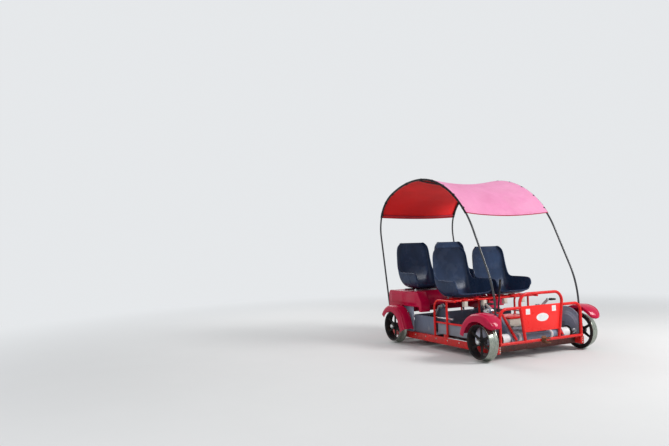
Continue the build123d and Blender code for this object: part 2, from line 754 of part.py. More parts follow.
def fender(axle_y, side, inner_x, curve):
    """Band over a wheel along arcs of (centre y, centre z, radius, start, end, chords, tip).

    Over an arc the band narrows from its full width to the tip's share of it, in plan an ellipse."""
    full = FENDER_OUTER_X - inner_x
    with BuildPart() as made:
        for place, (centre_y, centre_z, radius, start, end, chords, tip) in enumerate(curve):
            for step in range(chords + 1):
                if step == 0 and place:
                    continue
                share = tip + (1 - tip) * sqrt(1 - (step / chords) ** 2)
                drawn_in = full * (1 - share) * FENDER_TIP_PLACE
                angle = radians(start + (end - start) * step / chords)
                outward = (0, cos(angle), sin(angle))
                if radius < 0:
                    outward = (0, -cos(angle), -sin(angle))
                origin = (
                    side * (inner_x + drawn_in),
                    axle_y + centre_y + abs(radius) * cos(angle),
                    AXLE_Z + centre_z + abs(radius) * sin(angle),
                )
                across = Vector(side, 0, 0)
                station = Plane(origin=origin, x_dir=across, z_dir=across.cross(Vector(*outward)))
                with BuildSketch(station):
                    with BuildLine():
                        Polyline(*band_outline(full * share, share), close=True)
                    make_face()
        loft(ruled=True)
    return made.part


def next_arc(centre, radius, end, next_radius, turn):
    """Arc that goes on from an arc's end, the other way round if its radius is negative."""
    reach = radius - next_radius
    middle = (centre[0] + reach * cos(radians(end)), centre[1] + reach * sin(radians(end)))
    if next_radius < 0:
        return (*middle, next_radius, end - 180, end - 180 - turn)
    return (*middle, next_radius, end, end + turn)


# Columns: name, axle, inner edge, centre from the axle, radius, start, end, and of the arc that
# goes on from there its radius, turn, chords and the width left at the tip
GUARD_OUTER_X = GUARD_DISC_X + GUARD_DISC_WALL
FENDERS = (
    ("front", 0, GUARD_OUTER_X + SEAT_GAP, (-20, 0), 296, 12, 112, 180, 52, 6, 0.3),
    ("rear", WHEELBASE, COWL_X + SEAT_GAP, (-20, 6), 262, 34, 162, -420, 14, 3, 1),
)
for axle_name, axle_y, inner_x, centre, radius, start, end, *onward, chords, tip in FENDERS:
    curve = (
        (*centre, radius, start, end, 9, 1),
        (*next_arc(centre, radius, end, *onward), chords, tip),
    )
    for side_name, side in SIDES:
        keep(fender(axle_y, side, inner_x, curve), f"{axle_name}_fender_{side_name}")


# Wheel guards: a plate inboard of each front wheel, with a round dish pressed into it
with BuildPart() as wheel_guards:
    for _, side in SIDES:
        inner_face = side_plane(side * GUARD_DISC_X)
        with BuildSketch(inner_face):
            with Locations((GUARD_DISC_Y, GUARD_DISC_Z)):
                Circle(GUARD_DISC_RADIUS)
            with Locations((GUARD_DISC_Y, (SILL_TOP + GUARD_DISC_Z) / 2)):
                Rectangle(2 * GUARD_DISC_RADIUS, GUARD_DISC_Z - SILL_TOP)
            with Locations((GUARD_DISC_Y, SILL_TOP + SEAT_GAP - GUARD_DISC_RADIUS)):
                Rectangle(3 * GUARD_DISC_RADIUS, 2 * GUARD_DISC_RADIUS, mode=Mode.SUBTRACT)
        extrude(amount=side * GUARD_DISC_WALL)
        with BuildSketch(side_plane(side * (GUARD_DISC_X - GUARD_DISH))):
            with Locations((GUARD_DISC_Y, GUARD_DISC_Z)):
                Circle(GUARD_DISC_RADIUS - 60)
                Circle(GUARD_DISC_RADIUS - 60 - GUARD_DISC_WALL, mode=Mode.SUBTRACT)
            with Locations((GUARD_DISC_Y, SILL_TOP + BEARER_HEIGHT - GUARD_DISC_RADIUS)):
                Rectangle(3 * GUARD_DISC_RADIUS, 2 * GUARD_DISC_RADIUS, mode=Mode.SUBTRACT)
        extrude(amount=side * GUARD_DISH)
    with BuildSketch(side_plane(0)):
        with Locations((0, AXLE_Z)):
            Circle(AXLE_RADIUS + MOVING_GAP)
    extrude(amount=WHEEL_FACE, both=True, mode=Mode.SUBTRACT)
keep(wheel_guards.part, "front_wheel_guards")


# Pedal consoles
FRONT_CONSOLE = (
    (-92, 150),
    (118, 436),
    (340, 436),
    (500, 300),
    (500, TUB_FLOOR + 2 * SEAT_GAP + TUB_WALL),
    (FRONT_TUB_START - 12, TUB_FLOOR + 2 * SEAT_GAP + TUB_WALL),
    (FRONT_TUB_START - 12, 150),
)
REAR_CONSOLE = (
    (REAR_CRANK_Y - 136, SILL_TOP + 2 * SEAT_GAP + TUB_WALL),
    (REAR_CRANK_Y - 136, 320),
    (REAR_CRANK_Y - 56, 425),
    (REAR_CRANK_Y + 54, 425),
    (REAR_TUB_END - 14, 340),
    (REAR_TUB_END - 14, SILL_TOP + 2 * SEAT_GAP + TUB_WALL),
)
CONSOLES = (
    ("front", FRONT_CONSOLE, CONSOLE_X, FRONT_CRANK_Y, FRONT_CRANK_Z),
    ("rear", REAR_CONSOLE, REAR_CONSOLE_X, REAR_CRANK_Y, REAR_CRANK_Z),
)
for row_name, outline, console_x, crank_y, crank_z in CONSOLES:
    with BuildPart() as consoles:
        for _, side in SIDES:
            with BuildSketch(side_plane(side * console_x)):
                with BuildLine():
                    Polyline(*outline, close=True)
                make_face()
                with Locations((crank_y, crank_z)):
                    Circle(HEAD_RADIUS)
                    Circle(SPINDLE_RADIUS + BEARING_GAP, mode=Mode.SUBTRACT)
                with Locations((0, AXLE_Z)):
                    Circle(AXLE_RADIUS + 4, mode=Mode.SUBTRACT)
            extrude(amount=CONSOLE_WIDTH / 2, both=True)
    keep(consoles.part, f"{row_name}_pedal_consoles")

strut_radius = 15
strut_x = CONSOLE_INNER - strut_radius - SEAT_GAP
with BuildPart() as struts:
    for _, side in SIDES:
        strut = ((-93, 178), (124, 440), (262, 440))
        tube_along(side_plane(side * strut_x), bent(strut, 60, 2), strut_radius)
keep(struts.part, "pedal_struts")


# Cranks and pedals. Each crank turns in the head of its console.
def crank(x, crank_y, crank_z, angle):
    with BuildPart() as made:
        with BuildSketch(side_plane(x)):
            with Locations((crank_y, crank_z)):
                Circle(SPINDLE_RADIUS)
        extrude(amount=CRANK_HALF, both=True)
        for end, turn in ((1, angle), (-1, angle + 180)):
            tip = (
                crank_y + CRANK_RADIUS * cos(radians(turn)),
                crank_z + CRANK_RADIUS * sin(radians(turn)),
            )
            with BuildSketch(side_plane(x + end * CRANK_HALF)):
                with Locations(((crank_y + tip[0]) / 2, (crank_z + tip[1]) / 2)):
                    SlotCenterToCenter(CRANK_RADIUS, 28, rotation=turn)
            extrude(amount=CRANK_ARM / 2, both=True)
            with BuildSketch(side_plane(x + end * CRANK_HALF)):
                with Locations(tip):
                    Circle(6)
            extrude(amount=end * (CRANK_ARM / 2 + PEDAL_LENGTH + 6))
    return made.part


def pedal_pair(x, crank_y, crank_z, angle):
    with BuildPart() as made:
        for end, turn in ((1, angle), (-1, angle + 180)):
            tip = (
                crank_y + CRANK_RADIUS * cos(radians(turn)),
                crank_z + CRANK_RADIUS * sin(radians(turn)),
            )
            with BuildSketch(side_plane(x + end * (CRANK_HALF + CRANK_ARM / 2 + 2))):
                with Locations(tip):
                    Rectangle(PEDAL_WIDTH, PEDAL_THICKNESS)
                    Circle(6 + SEAT_GAP, mode=Mode.SUBTRACT)
            extrude(amount=end * PEDAL_LENGTH)
    return made.part


CRANK_ANGLES = {"front_left": 140, "front_right": 28, "rear_left": 60, "rear_right": 115}
for row_name, _, console_x, crank_y, crank_z in CONSOLES:
    for side_name, side in SIDES:
        seat_name = f"{row_name}_{side_name}"
        placed = (side * console_x, crank_y, crank_z, CRANK_ANGLES[seat_name])
        keep(crank(*placed), f"{seat_name}_crank")
        keep(pedal_pair(*placed), f"{seat_name}_pedals")


# Drive unit between the front consoles
floor_top = TUB_FLOOR + TUB_WALL + 2 * SEAT_GAP
with BuildPart() as drive_unit:
    with BuildSketch(Plane.XY.offset(CASE_BOTTOM)):
        with Locations((0, (CASE_START + CASE_END) / 2)):
            RectangleRounded(2 * CASE_HALF, CASE_END - CASE_START, 14)
    extrude(amount=CASE_TOP - CASE_BOTTOM)
    with BuildSketch(Plane.XY.offset(floor_top)):
        with Locations((0, SHAFT_Y)):
            Rectangle(120, 90)
    extrude(amount=CASE_BOTTOM - floor_top)
    with BuildSketch(side_plane(0)):
        with Locations((SHAFT_Y, SHAFT_Z)):
            Circle(SHAFT_TUBE)
    extrude(amount=CONSOLE_INNER - SEAT_GAP, both=True)
keep(drive_unit.part, "front_drive_unit")

with BuildPart() as drive_lid:
    with BuildSketch(Plane.XY.offset(CASE_TOP + SEAT_GAP)):
        with Locations((0, (CASE_START + CASE_END) / 2)):
            RectangleRounded(2 * CASE_HALF + 12, CASE_END - CASE_START + 12, 18)
    extrude(amount=LID_THICKNESS)
keep(drive_lid.part, "drive_unit_lid")


# Brake lever in front of the gap between the front seats
with BuildPart() as lever:
    lever_path = ((LEVER_Y, floor_top), (LEVER_Y, 330), (LEVER_Y - 70, LEVER_TOP))
    tube_along(side_plane(0), lever_path, LEVER_RADIUS)
    with BuildSketch(Plane.XY.offset(floor_top)):
        with Locations((0, LEVER_Y)):
            Rectangle(60, 90)
    extrude(amount=8)
keep(lever.part, "brake_lever")


# Canopy bows: foot, leg, a long arc over the car and a leg down behind
LEG_FOOT_Z = SILL_TOP + SEAT_GAP
front_centre = (BOW_PEAK_Y, BOW_PEAK_Z - FRONT_ARC)
rear_centre = (BOW_PEAK_Y, BOW_PEAK_Z - REAR_ARC)
front_over = [
    *arc_points(front_centre, FRONT_ARC, 90 + FRONT_LEAN, 90 + FABRIC_FRONT, 1)[:1],
    *arc_points(front_centre, FRONT_ARC, 90 + FABRIC_FRONT, 90, FRONT_CHORDS),
]
rear_over = arc_points(rear_centre, REAR_ARC, 90, 90 - REAR_TURN, REAR_CHORDS)
corner_centre = (
    rear_centre[0] + (REAR_ARC - CORNER_ARC) * sin(radians(REAR_TURN)),
    rear_centre[1] + (REAR_ARC - CORNER_ARC) * cos(radians(REAR_TURN)),
)
corner_over = [
    *arc_points(corner_centre, CORNER_ARC, 90 - REAR_TURN, FABRIC_REAR, CORNER_CHORDS),
    *arc_points(corner_centre, CORNER_ARC, FABRIC_REAR, 90 - LEG_HEADING, 2)[1:],
]
front_slope = tan(radians(FRONT_LEAN))
front_start = front_over[0]
knee_z = front_start[1] - (front_start[0] - BOW_FOOT_Y) * front_slope
corner_end = corner_over[-1]
foot_z = LEG_FOOT_Z + BOW_FOOT_PLATE / 2
rear_foot_y = corner_end[0] - (corner_end[1] - foot_z) * tan(radians(LEG_HEADING - 90))
front_leg = bent(((BOW_FOOT_Y, foot_z), (BOW_FOOT_Y, knee_z), front_start), KNEE_BEND)
bow_path = (
    *front_leg[:-1], *front_over, *rear_over[1:], *corner_over[1:], (rear_foot_y, foot_z),
)
for side_name, side in SIDES:
    with BuildPart() as bow:
        tube_along(side_plane(side * BOW_X), bow_path, BOW_RADIUS)
        with BuildSketch(Plane.XY.offset(LEG_FOOT_Z)):
            for foot_y in (BOW_FOOT_Y + 8, rear_foot_y):
                with Locations((side * (BOW_X - 3), foot_y)):
                    Rectangle(BOW_FOOT_WIDTH, BOW_FOOT_LENGTH)
        extrude(amount=BOW_FOOT_PLATE)
    keep(bow.part, f"canopy_bow_{side_name}")


# Tubes across the canopy and the fabric over them, which sags between the bows
def radial_plane(centre, angle):
    """Plane across the car through an arc's centre, with local y along the radius."""
    return Plane(
        origin=(0, centre[0], centre[1]),
        x_dir=(1, 0, 0),
        z_dir=(0, -sin(radians(angle)), cos(radians(angle))),
    )


def sagging(reach, half, chords=8):
    """Points from bow to bow of a line that hangs FABRIC_SAG in the middle."""
    result = []
    for step in range(chords + 1):
        share = 2 * step / chords - 1
        result.append((half * share, reach - FABRIC_SAG * (1 - share**2)))
    return result


CROSS_TUBES = (
    (front_centre, FRONT_ARC, 90 + FABRIC_FRONT - CROSS_TUBE_SHIFT),
    (front_centre, FRONT_ARC, 90),
    (corner_centre, CORNER_ARC, FABRIC_REAR + CROSS_TUBE_SHIFT),
)
tube_half = BOW_X - BOW_RADIUS - SEAT_GAP
with BuildPart() as cross_tubes:
    for centre, reach, angle in CROSS_TUBES:
        tube_line = sagging(reach - CROSS_TUBE_DROP, tube_half)
        tube_along(radial_plane(centre, angle), tube_line, CROSS_TUBE)
keep(cross_tubes.part, "canopy_cross_tubes")

FABRIC_PARTS = (
    (front_centre, FRONT_ARC, 90 + FABRIC_FRONT, 90, FRONT_CHORDS),
    (rear_centre, REAR_ARC, 90, 90 - REAR_TURN, REAR_CHORDS),
    (corner_centre, CORNER_ARC, 90 - REAR_TURN, FABRIC_REAR, CORNER_CHORDS),
)


def fabric_outline(reach):
    """Section of the fabric: from bow to bow, and halfway round the outside of each bow."""
    hem = BOW_RADIUS + SEAT_GAP + FABRIC_CLEAR
    over = hem + FABRIC_WALL
    side_half = []
    for radius, angles in ((hem, (45, 0, -45, -90)), (over, (-90, -45, 0, 45))):
        for angle in angles:
            side_half.append(
                (BOW_X + radius * cos(radians(angle)), reach + radius * sin(radians(angle)))
            )
    inner = sagging(reach + hem, BOW_X)
    outer = sagging(reach + over, BOW_X)
    mirrored = [(-x, y) for x, y in side_half]
    return [*inner, *side_half, *reversed(outer), *reversed(mirrored)]


with BuildPart() as fabric:
    for part_number, (centre, reach, start, end, chords) in enumerate(FABRIC_PARTS):
        for step in range(chords + 1):
            if step == 0 and part_number:
                continue
            angle = start + (end - start) * step / chords
            with BuildSketch(radial_plane(centre, angle)):
                with BuildLine():
                    Polyline(*fabric_outline(reach), close=True)
                make_face()
    loft(ruled=True)
keep(fabric.part, "canopy_fabric")


# Rear guard: a hoop with a middle bar, standing on the last cross member
REAR_GUARD_Y = SILL_REAR - CROSS_WIDTH / 2 + 12
rear_plane = Plane(origin=(0, REAR_GUARD_Y, 0), x_dir=(1, 0, 0), z_dir=(0, -1, 0))
rear_foot_z = CROSS_TOP + SEAT_GAP
with BuildPart() as rear_guard:
    rear_hoop = (
        (-REAR_GUARD_X, rear_foot_z),
        (-REAR_GUARD_X, REAR_GUARD_TOP),
        (REAR_GUARD_X, REAR_GUARD_TOP),
        (REAR_GUARD_X, rear_foot_z),
    )
    tube_along(rear_plane, bent(rear_hoop, LOW_CORNER, 4), FRAME_TUBE)
    rear_bar = ((-REAR_GUARD_X, REAR_GUARD_BAR), (REAR_GUARD_X, REAR_GUARD_BAR))
    tube_along(rear_plane, rear_bar, FRAME_CROSS_TUBE)
keep(rear_guard.part, "rear_guard_frame")


# Each piece in its place, with the origin midway along the car
boxes = [piece.bounding_box() for piece in pieces]
middle = (min(box.min.Y for box in boxes) + max(box.max.Y for box in boxes)) / 2
for piece in pieces:
    placed = piece.moved(Location((0, -middle, FLANGE_HEIGHT)))
    placed.label = piece.label
    export_step(placed, f"parts/{piece.label}.step")
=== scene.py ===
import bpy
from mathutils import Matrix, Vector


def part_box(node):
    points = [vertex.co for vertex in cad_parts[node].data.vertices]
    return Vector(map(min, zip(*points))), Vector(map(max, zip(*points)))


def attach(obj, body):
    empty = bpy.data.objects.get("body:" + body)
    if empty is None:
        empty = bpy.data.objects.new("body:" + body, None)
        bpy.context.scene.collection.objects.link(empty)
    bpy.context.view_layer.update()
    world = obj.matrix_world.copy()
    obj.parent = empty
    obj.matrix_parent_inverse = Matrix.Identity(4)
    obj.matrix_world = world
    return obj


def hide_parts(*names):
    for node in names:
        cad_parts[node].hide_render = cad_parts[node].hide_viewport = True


bl_info = {
    "name": "Pedal Rail Car",
    "version": (1, 0, 0),
    "blender": (4, 5, 0),
    "location": "View3D > Sidebar > Rail Car",
    "description": "Dresses a pedal rail car for four riders: canopy, seats, fenders, wheels and paint",
    "category": "Object",
}

from math import cos, hypot, pi, radians, sin, tan

import bmesh
import bpy
from bpy.props import FloatProperty, FloatVectorProperty, IntProperty, PointerProperty
from bpy.types import Operator, Panel, PropertyGroup
from mathutils import Matrix, Vector, noise

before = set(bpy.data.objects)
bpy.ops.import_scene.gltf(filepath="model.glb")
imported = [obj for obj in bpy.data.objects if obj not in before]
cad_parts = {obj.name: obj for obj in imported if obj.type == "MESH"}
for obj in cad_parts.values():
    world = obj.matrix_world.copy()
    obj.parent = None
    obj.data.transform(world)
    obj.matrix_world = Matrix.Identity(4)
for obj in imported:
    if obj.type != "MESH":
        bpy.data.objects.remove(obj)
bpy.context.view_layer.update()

# The car's own coordinates: x across, y behind the front axle, z above the rail top, in metres
AXLE_LOW, AXLE_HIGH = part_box("front_axle")
REAR_AXLE_LOW, REAR_AXLE_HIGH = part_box("rear_axle")
AXLE_Y = (AXLE_LOW.y + AXLE_HIGH.y) / 2
WHEELBASE = (REAR_AXLE_LOW.y + REAR_AXLE_HIGH.y) / 2 - AXLE_Y
TREAD_RADIUS = 0.188
RAIL_Z = (AXLE_LOW.z + AXLE_HIGH.z) / 2 - TREAD_RADIUS
SIDES = (("left", 1), ("right", -1))
AXLES = (("front", 0.0), ("rear", WHEELBASE))
WAYS = (1, -1)
# Directions that bolts and bars face or lie along
ACROSS = (1, 0, 0)
BACK = (0, 1, 0)
AHEAD = (0, -1, 0)
UP = (0, 0, 1)
# Base of the falling curves, close to e
FALL = 2.718

SILL_X = 0.630
SILL_TOP = 0.135
GUARD_Y = -0.125
BOW_X = 0.612
BOW_RADIUS = 0.011
FABRIC_LIFT = 0.0136
# Arcs of the canopy in side view: centre, radius, first and last angle, steps
CANOPY_ARCS = (
    ((1.250, 0.895), 1.135, 144.0, 90.0, 42),
    ((1.250, 0.530), 1.500, 90.0, 65.0, 16),
    ((1.250 + sin(radians(25)), 0.530 + cos(radians(25))), 0.500, 65.0, 20.0, 20),
)
CROSS_TUBES = ((0, 140.0), (0, 90.0), (2, 24.0))
SEAT_X = 0.305
SEATS = (("front", 0.600, 0.5833), ("rear", WHEELBASE - 0.279, 0.6556))
CONSOLES = (("front", 0.370, 0.300, 0.462), ("rear", 0.345, WHEELBASE - 0.483, 0.450))
CRANK_ANGLES = {"front_left": 140, "front_right": 28, "rear_left": 60, "rear_right": 115}
CRANK_RADIUS = 0.130


def car(x, y, z):
    """Point in the frame from the car's own coordinates."""
    return Vector((x, y + AXLE_Y, z + RAIL_Z))


def metres(name, description, default):
    """A length that a user may change."""
    return FloatProperty(name=name, description=description, default=default, unit="LENGTH")


def tint(name, description, default):
    """A colour that a user may change."""
    return FloatVectorProperty(name=name, description=description, default=default, subtype="COLOR")


class CanopySizes(PropertyGroup):
    sag: metres("Sag", "How far the cloth hangs between the bows", 0.058)
    ripple: metres("Ripple", "Depth of the pull lines beside the bows", 0.0022)
    hem: metres("Hem", "Width of the turned hem", 0.034)
    stitch: metres("Stitch", "Spacing of the stitches", 0.010)
    # The sunlit side's colour is real fading with painted sunlight in it; the shaded side's red is brightened
    # as painted light shining through the cloth
    sunlit: tint("Sunlit side", "Faded colour of the cloth's upper side", (0.83, 0.262, 0.475))
    shaded: tint("Shaded side", "Colour of the cloth's underside", (0.86, 0.022, 0.016))


class SeatSizes(PropertyGroup):
    wall: metres("Wall", "Thickness of the seat shell", 0.005)
    lip: metres("Lip", "How far the rolled rim turns down", 0.016)
    shell: tint("Shell", "Colour of the moulded shell", (0.021, 0.040, 0.088))


class BodySizes(PropertyGroup):
    wall: metres("Wall", "Thickness of the moulded fenders", 0.0035)
    bead: metres("Bead", "Radius of the bead along a fender's skirt", 0.0032)
    bulge: metres("Bulge", "How far the cowl's flank stands proud", 0.010)
    gel: tint("Gel coat", "Red of the mouldings", (0.54, 0.004, 0.052))


class GearSizes(PropertyGroup):
    spokes: IntProperty(name="Spokes", description="Spokes in a wheel", default=6, min=3, max=12)
    iron: tint("Wheel paint", "Black of the wheels", (0.011, 0.011, 0.013))


class TubeSizes(PropertyGroup):
    sides: IntProperty(name="Sides", description="Sides of a bent tube", default=24, min=8)
    enamel: tint("Enamel", "Red of the frame", (0.74, 0.012, 0.012))
    bow: tint("Bow paint", "Dark paint of the bows", (0.035, 0.037, 0.042))


class StageSizes(PropertyGroup):
    lens: FloatProperty(name="Lens", description="Focal length", default=33.63, unit="CAMERA")
    daylight: FloatProperty(name="Daylight", description="Strength of the even light", default=0.40)
    pale: FloatProperty(name="Backdrop light", description="Brightness of the backdrop", default=0.92)
    backdrop: tint("Backdrop", "Colour behind the car", (0.86, 0.88, 0.90))
    floor: tint("Floor", "Colour of the floor", (0.74, 0.74, 0.73))


# Nodes
def add_node(tree, kind, inputs=None, **settings):
    """Adds a node, with settings as attributes and inputs as values or sockets."""
    made = tree.nodes.new(kind)
    for name, value in settings.items():
        setattr(made, name, value)
    for name, value in (inputs or {}).items():
        if isinstance(value, bpy.types.NodeSocket):
            tree.links.new(value, made.inputs[name])
        else:
            made.inputs[name].default_value = value
    return made


def shaded(name, colour, roughness, metallic=0.0, coat=0.0, gloss=0.25):
    """New material, its node tree and its shader."""
    material = bpy.data.materials.new(name)
    material.use_nodes = True
    tree = material.node_tree
    shader = tree.nodes["Principled BSDF"]
    shader.inputs["Base Color"].default_value = (*colour, 1.0)
    shader.inputs["Roughness"].default_value = roughness
    shader.inputs["Metallic"].default_value = metallic
    shader.inputs["Specular IOR Level"].default_value = gloss
    shader.inputs["Coat Weight"].default_value = coat
    shader.inputs["Coat Roughness"].default_value = 0.08
    return material, tree, shader


def place_on(tree, stretch=None):
    """The piece's own coordinates, stretched where a pattern runs one way."""
    place = add_node(tree, "ShaderNodeTexCoord").outputs["Object"]
    if stretch:
        place = add_node(tree, "ShaderNodeMapping", {"Vector": place, "Scale": stretch}).outputs[0]
    return place


def between(tree, value, low, high):
    """Share from 0 at low to 1 at high."""
    spread = {"Value": value, "From Min": low, "From Max": high}
    return add_node(tree, "ShaderNodeMapRange", spread).outputs["Result"]


def cloud(tree, scale, low, high, detail=5.0, stretch=None):
    """Share from 0 to 1 of a soft noise over the piece."""
    made = add_node(
        tree, "ShaderNodeTexNoise",
        {"Vector": place_on(tree, stretch), "Scale": scale, "Detail": detail, "Roughness": 0.6},
    )
    return between(tree, made.outputs[0], low, high)


def along_axis(tree, axis, low, high):
    """Share from 0 to 1 along X, Y or Z of the frame."""
    parts = add_node(tree, "ShaderNodeSeparateXYZ", {"Vector": place_on(tree)})
    return between(tree, parts.outputs[axis], low, high)


def times(tree, *values, operation="MULTIPLY"):
    """The values taken together one after another, multiplied unless the operation says otherwise."""
    result = values[0]
    for value in values[1:]:
        result = add_node(tree, "ShaderNodeMath", {0: result, 1: value}, operation=operation).outputs[0]
    return result


def plus(tree, *values):
    """The values added up."""
    return times(tree, *values, operation="ADD")


def layered(tree, share, under, over):
    """Colour that goes from under to over with the share."""
    made = add_node(tree, "ShaderNodeMix", {0: share}, data_type="RGBA")
    for socket, colour in ((made.inputs[6], under), (made.inputs[7], over)):
        if isinstance(colour, bpy.types.NodeSocket):
            tree.links.new(colour, socket)
        else:
            socket.default_value = (*colour, 1.0)
    return made.outputs[2]


def paint_shader(tree, shader, colour, roughness=None, metallic=None):
    """Links what is given to the shader's colour, roughness and metallic."""
    for name, socket in (("Base Color", colour), ("Roughness", roughness), ("Metallic", metallic)):
        if socket is not None:
            tree.links.new(socket, shader.inputs[name])


def relief(tree, shader, height, depth, under=None):
    """Bump of a depth in metres, over another bump where there is one."""
    made = add_node(tree, "ShaderNodeBump", {"Height": height, "Distance": depth, "Strength": 1.0})
    if under is not None:
        tree.links.new(under, made.inputs["Normal"])
    tree.links.new(made.outputs["Normal"], shader.inputs["Normal"])
    return made.outputs["Normal"]


def scaled(colour, share):
    """The colour, darker or lighter by a share."""
    return tuple(channel * share for channel in colour)


def toned(tree, colour, share, dark, light):
    """The colour, from a darker to a lighter tone of it with the share."""
    return layered(tree, share, scaled(colour, dark), scaled(colour, light))


def low_patches(tree, base, heights, patches, amount, colour):
    """The base with patches of a colour, from none at the first height over the rail to most at the second:
    dust, and on the enamel painted shade as well.
    """
    low = along_axis(tree, 2, RAIL_Z + heights[0], RAIL_Z + heights[1])
    return layered(tree, times(tree, low, cloud(tree, *patches), amount), base, colour)


# Finishes
def enamel_paint(name, colour, chips=0.72, dust=0.30, roughness=0.30, uneven=0.12, inner=0.0, shine=1.0):
    """Brushed-on enamel with small chips and road dust low down, the dust darkened as painted shade too, and
    where asked a near-black painted shade between the sills.
    """
    material, tree, shader = shaded(name, colour, roughness, coat=0.10 * shine, gloss=0.20 * shine)
    base = toned(tree, colour, cloud(tree, 3.5, 0.30, 0.72), 1.0 - uneven, 1.0 + uneven / 2)
    chip = cloud(tree, 62.0, chips, chips + 0.02, detail=3.0)
    base = layered(tree, chip, base, (0.10, 0.045, 0.035))
    # Road dust low down, its colour a dark red that is also painted shade on the lower parts
    base = low_patches(tree, base, (0.26, 0.03), (11.0, 0.34, 0.75), dust * 2.0, (0.115, 0.050, 0.042))
    # Near-black painted shade on the members between the sills, from a little behind the rear axle forwards,
    # where the car's shadow lies
    if inner:
        across = add_node(tree, "ShaderNodeSeparateXYZ", {"Vector": place_on(tree)}).outputs[0]
        distance = times(tree, across, 0.0, operation="ABSOLUTE")
        inside = between(tree, distance, SILL_X - 0.019, SILL_X - 0.045)
        rear_axle = AXLE_Y + WHEELBASE
        ahead = along_axis(tree, 1, rear_axle + 0.285, rear_axle + 0.245)
        painted_shade = times(tree, inside, ahead, cloud(tree, 5.0, 0.0, 0.36), inner)
        base = layered(tree, painted_shade, base, (0.030, 0.018, 0.014))
    rough = between(tree, cloud(tree, 9.0, 0.2, 0.8), -1.2, 3.0)
    paint_shader(tree, shader, base, times(tree, rough, roughness * 2.2))
    peel = relief(tree, shader, cloud(tree, 190.0, 0.2, 0.8, detail=1.0), 0.00025)
    relief(tree, shader, times(tree, chip, -1.0), 0.0003, peel)
    return material


def gel_coat(name, colour):
    """Glossy moulded gel coat, a little dulled and scratched."""
    material, tree, shader = shaded(name, colour, 0.20, coat=0.12, gloss=0.16)
    base = toned(tree, colour, cloud(tree, 2.2, 0.25, 0.75), 0.80, 1.08)
    scratch = cloud(tree, 34.0, 0.68, 0.74, detail=8.0, stretch=(1.0, 0.16, 1.0))
    base = layered(tree, times(tree, scratch, 0.22), base, (0.72, 0.14, 0.20))
    base = low_patches(tree, base, (0.36, 0.12), (8.0, 0.38, 0.8), 0.45, (0.13, 0.050, 0.050))
    dull = times(tree, cloud(tree, 7.0, 0.25, 0.85), 0.22)
    paint_shader(tree, shader, base, plus(tree, dull, 0.13, times(tree, scratch, 0.2)))
    ripple = relief(tree, shader, cloud(tree, 26.0, 0.2, 0.8, detail=1.0), 0.0007)
    relief(tree, shader, times(tree, scratch, -1.0), 0.0001, ripple)
    return material


def sheet_paint(name, colour, roughness=0.42):
    """Grey stove paint on pressed sheet: scuffed, with dusty lower parts."""
    material, tree, shader = shaded(name, colour, roughness)
    tone = cloud(tree, 4.5, 0.3, 0.7)
    base = toned(tree, colour, tone, 0.80, 1.12)
    scuff = cloud(tree, 18.0, 0.60, 0.72, detail=9.0, stretch=(1.0, 1.0, 0.35))
    base = layered(tree, times(tree, scuff, 0.45), base, (0.62, 0.62, 0.62))
    speck = cloud(tree, 85.0, 0.66, 0.70, detail=2.0)
    base = layered(tree, times(tree, speck, 0.6), base, scaled(colour, 0.35))
    base = low_patches(tree, base, (0.30, 0.12), (6.0, 0.3, 0.8), 0.55, (0.17, 0.14, 0.11))
    paint_shader(tree, shader, base, between(tree, tone, -2.2, 2.6))
    relief(tree, shader, cloud(tree, 140.0, 0.2, 0.8, detail=2.0), 0.0003)
    return material


def plate_metal(name, colour, roughness=0.30, stretch=(1.0, 14.0, 14.0), metallic=1.0, dirt=0.5):
    """Bare metal with brush marks and dull spots."""
    material, tree, shader = shaded(name, colour, roughness, metallic)
    brush = cloud(tree, 60.0, 0.25, 0.75, detail=3.0, stretch=stretch)
    dull = cloud(tree, 9.0, 0.48, 0.72)
    base = layered(tree, times(tree, dull, dirt), toned(tree, colour, brush, 0.78, 1.05), (0.20, 0.18, 0.16))
    brushed = plus(tree, times(tree, brush, 0.12), roughness)
    paint_shader(tree, shader, base, plus(tree, times(tree, dull, 0.30), brushed))
    relief(tree, shader, brush, 0.00012)
    return material


def wheel_iron(name, colour):
    """Painted casting, with a bright rolled tread where the mesh says it is worn."""
    material, tree, shader = shaded(name, colour, 0.5, gloss=0.15)
    worn = add_node(tree, "ShaderNodeAttribute", attribute_name="worn").outputs["Fac"]
    ragged = times(tree, cloud(tree, 45.0, 0.3, 0.7), 0.35)
    bright = between(tree, times(tree, worn, ragged, operation="SUBTRACT"), 0.30, 0.42)
    rust = times(tree, cloud(tree, 22.0, 0.52, 0.74, detail=7.0), 0.55)
    paint = layered(tree, rust, colour, (0.085, 0.038, 0.020))
    paint = layered(tree, times(tree, cloud(tree, 7.0, 0.35, 0.8), 0.13), paint, (0.15, 0.13, 0.11))
    rolled = cloud(tree, 30.0, 0.3, 0.7, stretch=(9.0, 1.0, 1.0))
    # The bright tread is real wear; its green tint is a painted reflection
    steel = layered(tree, rolled, (0.20, 0.23, 0.19), (0.46, 0.49, 0.44))
    rough = layered(tree, bright, (0.55, 0.55, 0.55), (0.24, 0.24, 0.24))
    paint_shader(tree, shader, layered(tree, bright, paint, steel), rough, times(tree, bright, 0.9))
    painted = times(tree, bright, 1.0, operation="SUBTRACT")
    relief(tree, shader, times(tree, cloud(tree, 160.0, 0.2, 0.8, detail=3.0), painted), -0.0006)
    return material


def moulded_shell(name, colour):
    """Glossy polypropylene shell with a fine grain and rubbed patches."""
    material, tree, shader = shaded(name, colour, 0.30, gloss=0.16)
    base = toned(tree, colour, cloud(tree, 5.0, 0.3, 0.7), 0.75, 1.30)
    rubbed = times(tree, cloud(tree, 7.0, 0.50, 0.80, detail=6.0), 0.20)
    base = layered(tree, rubbed, base, (0.12, 0.16, 0.24))
    grain = add_node(tree, "ShaderNodeTexVoronoi", {"Vector": place_on(tree), "Scale": 620.0})
    paint_shader(tree, shader, base, plus(tree, rubbed, 0.25))
    relief(tree, shader, grain.outputs["Distance"], 0.00016)
    return material


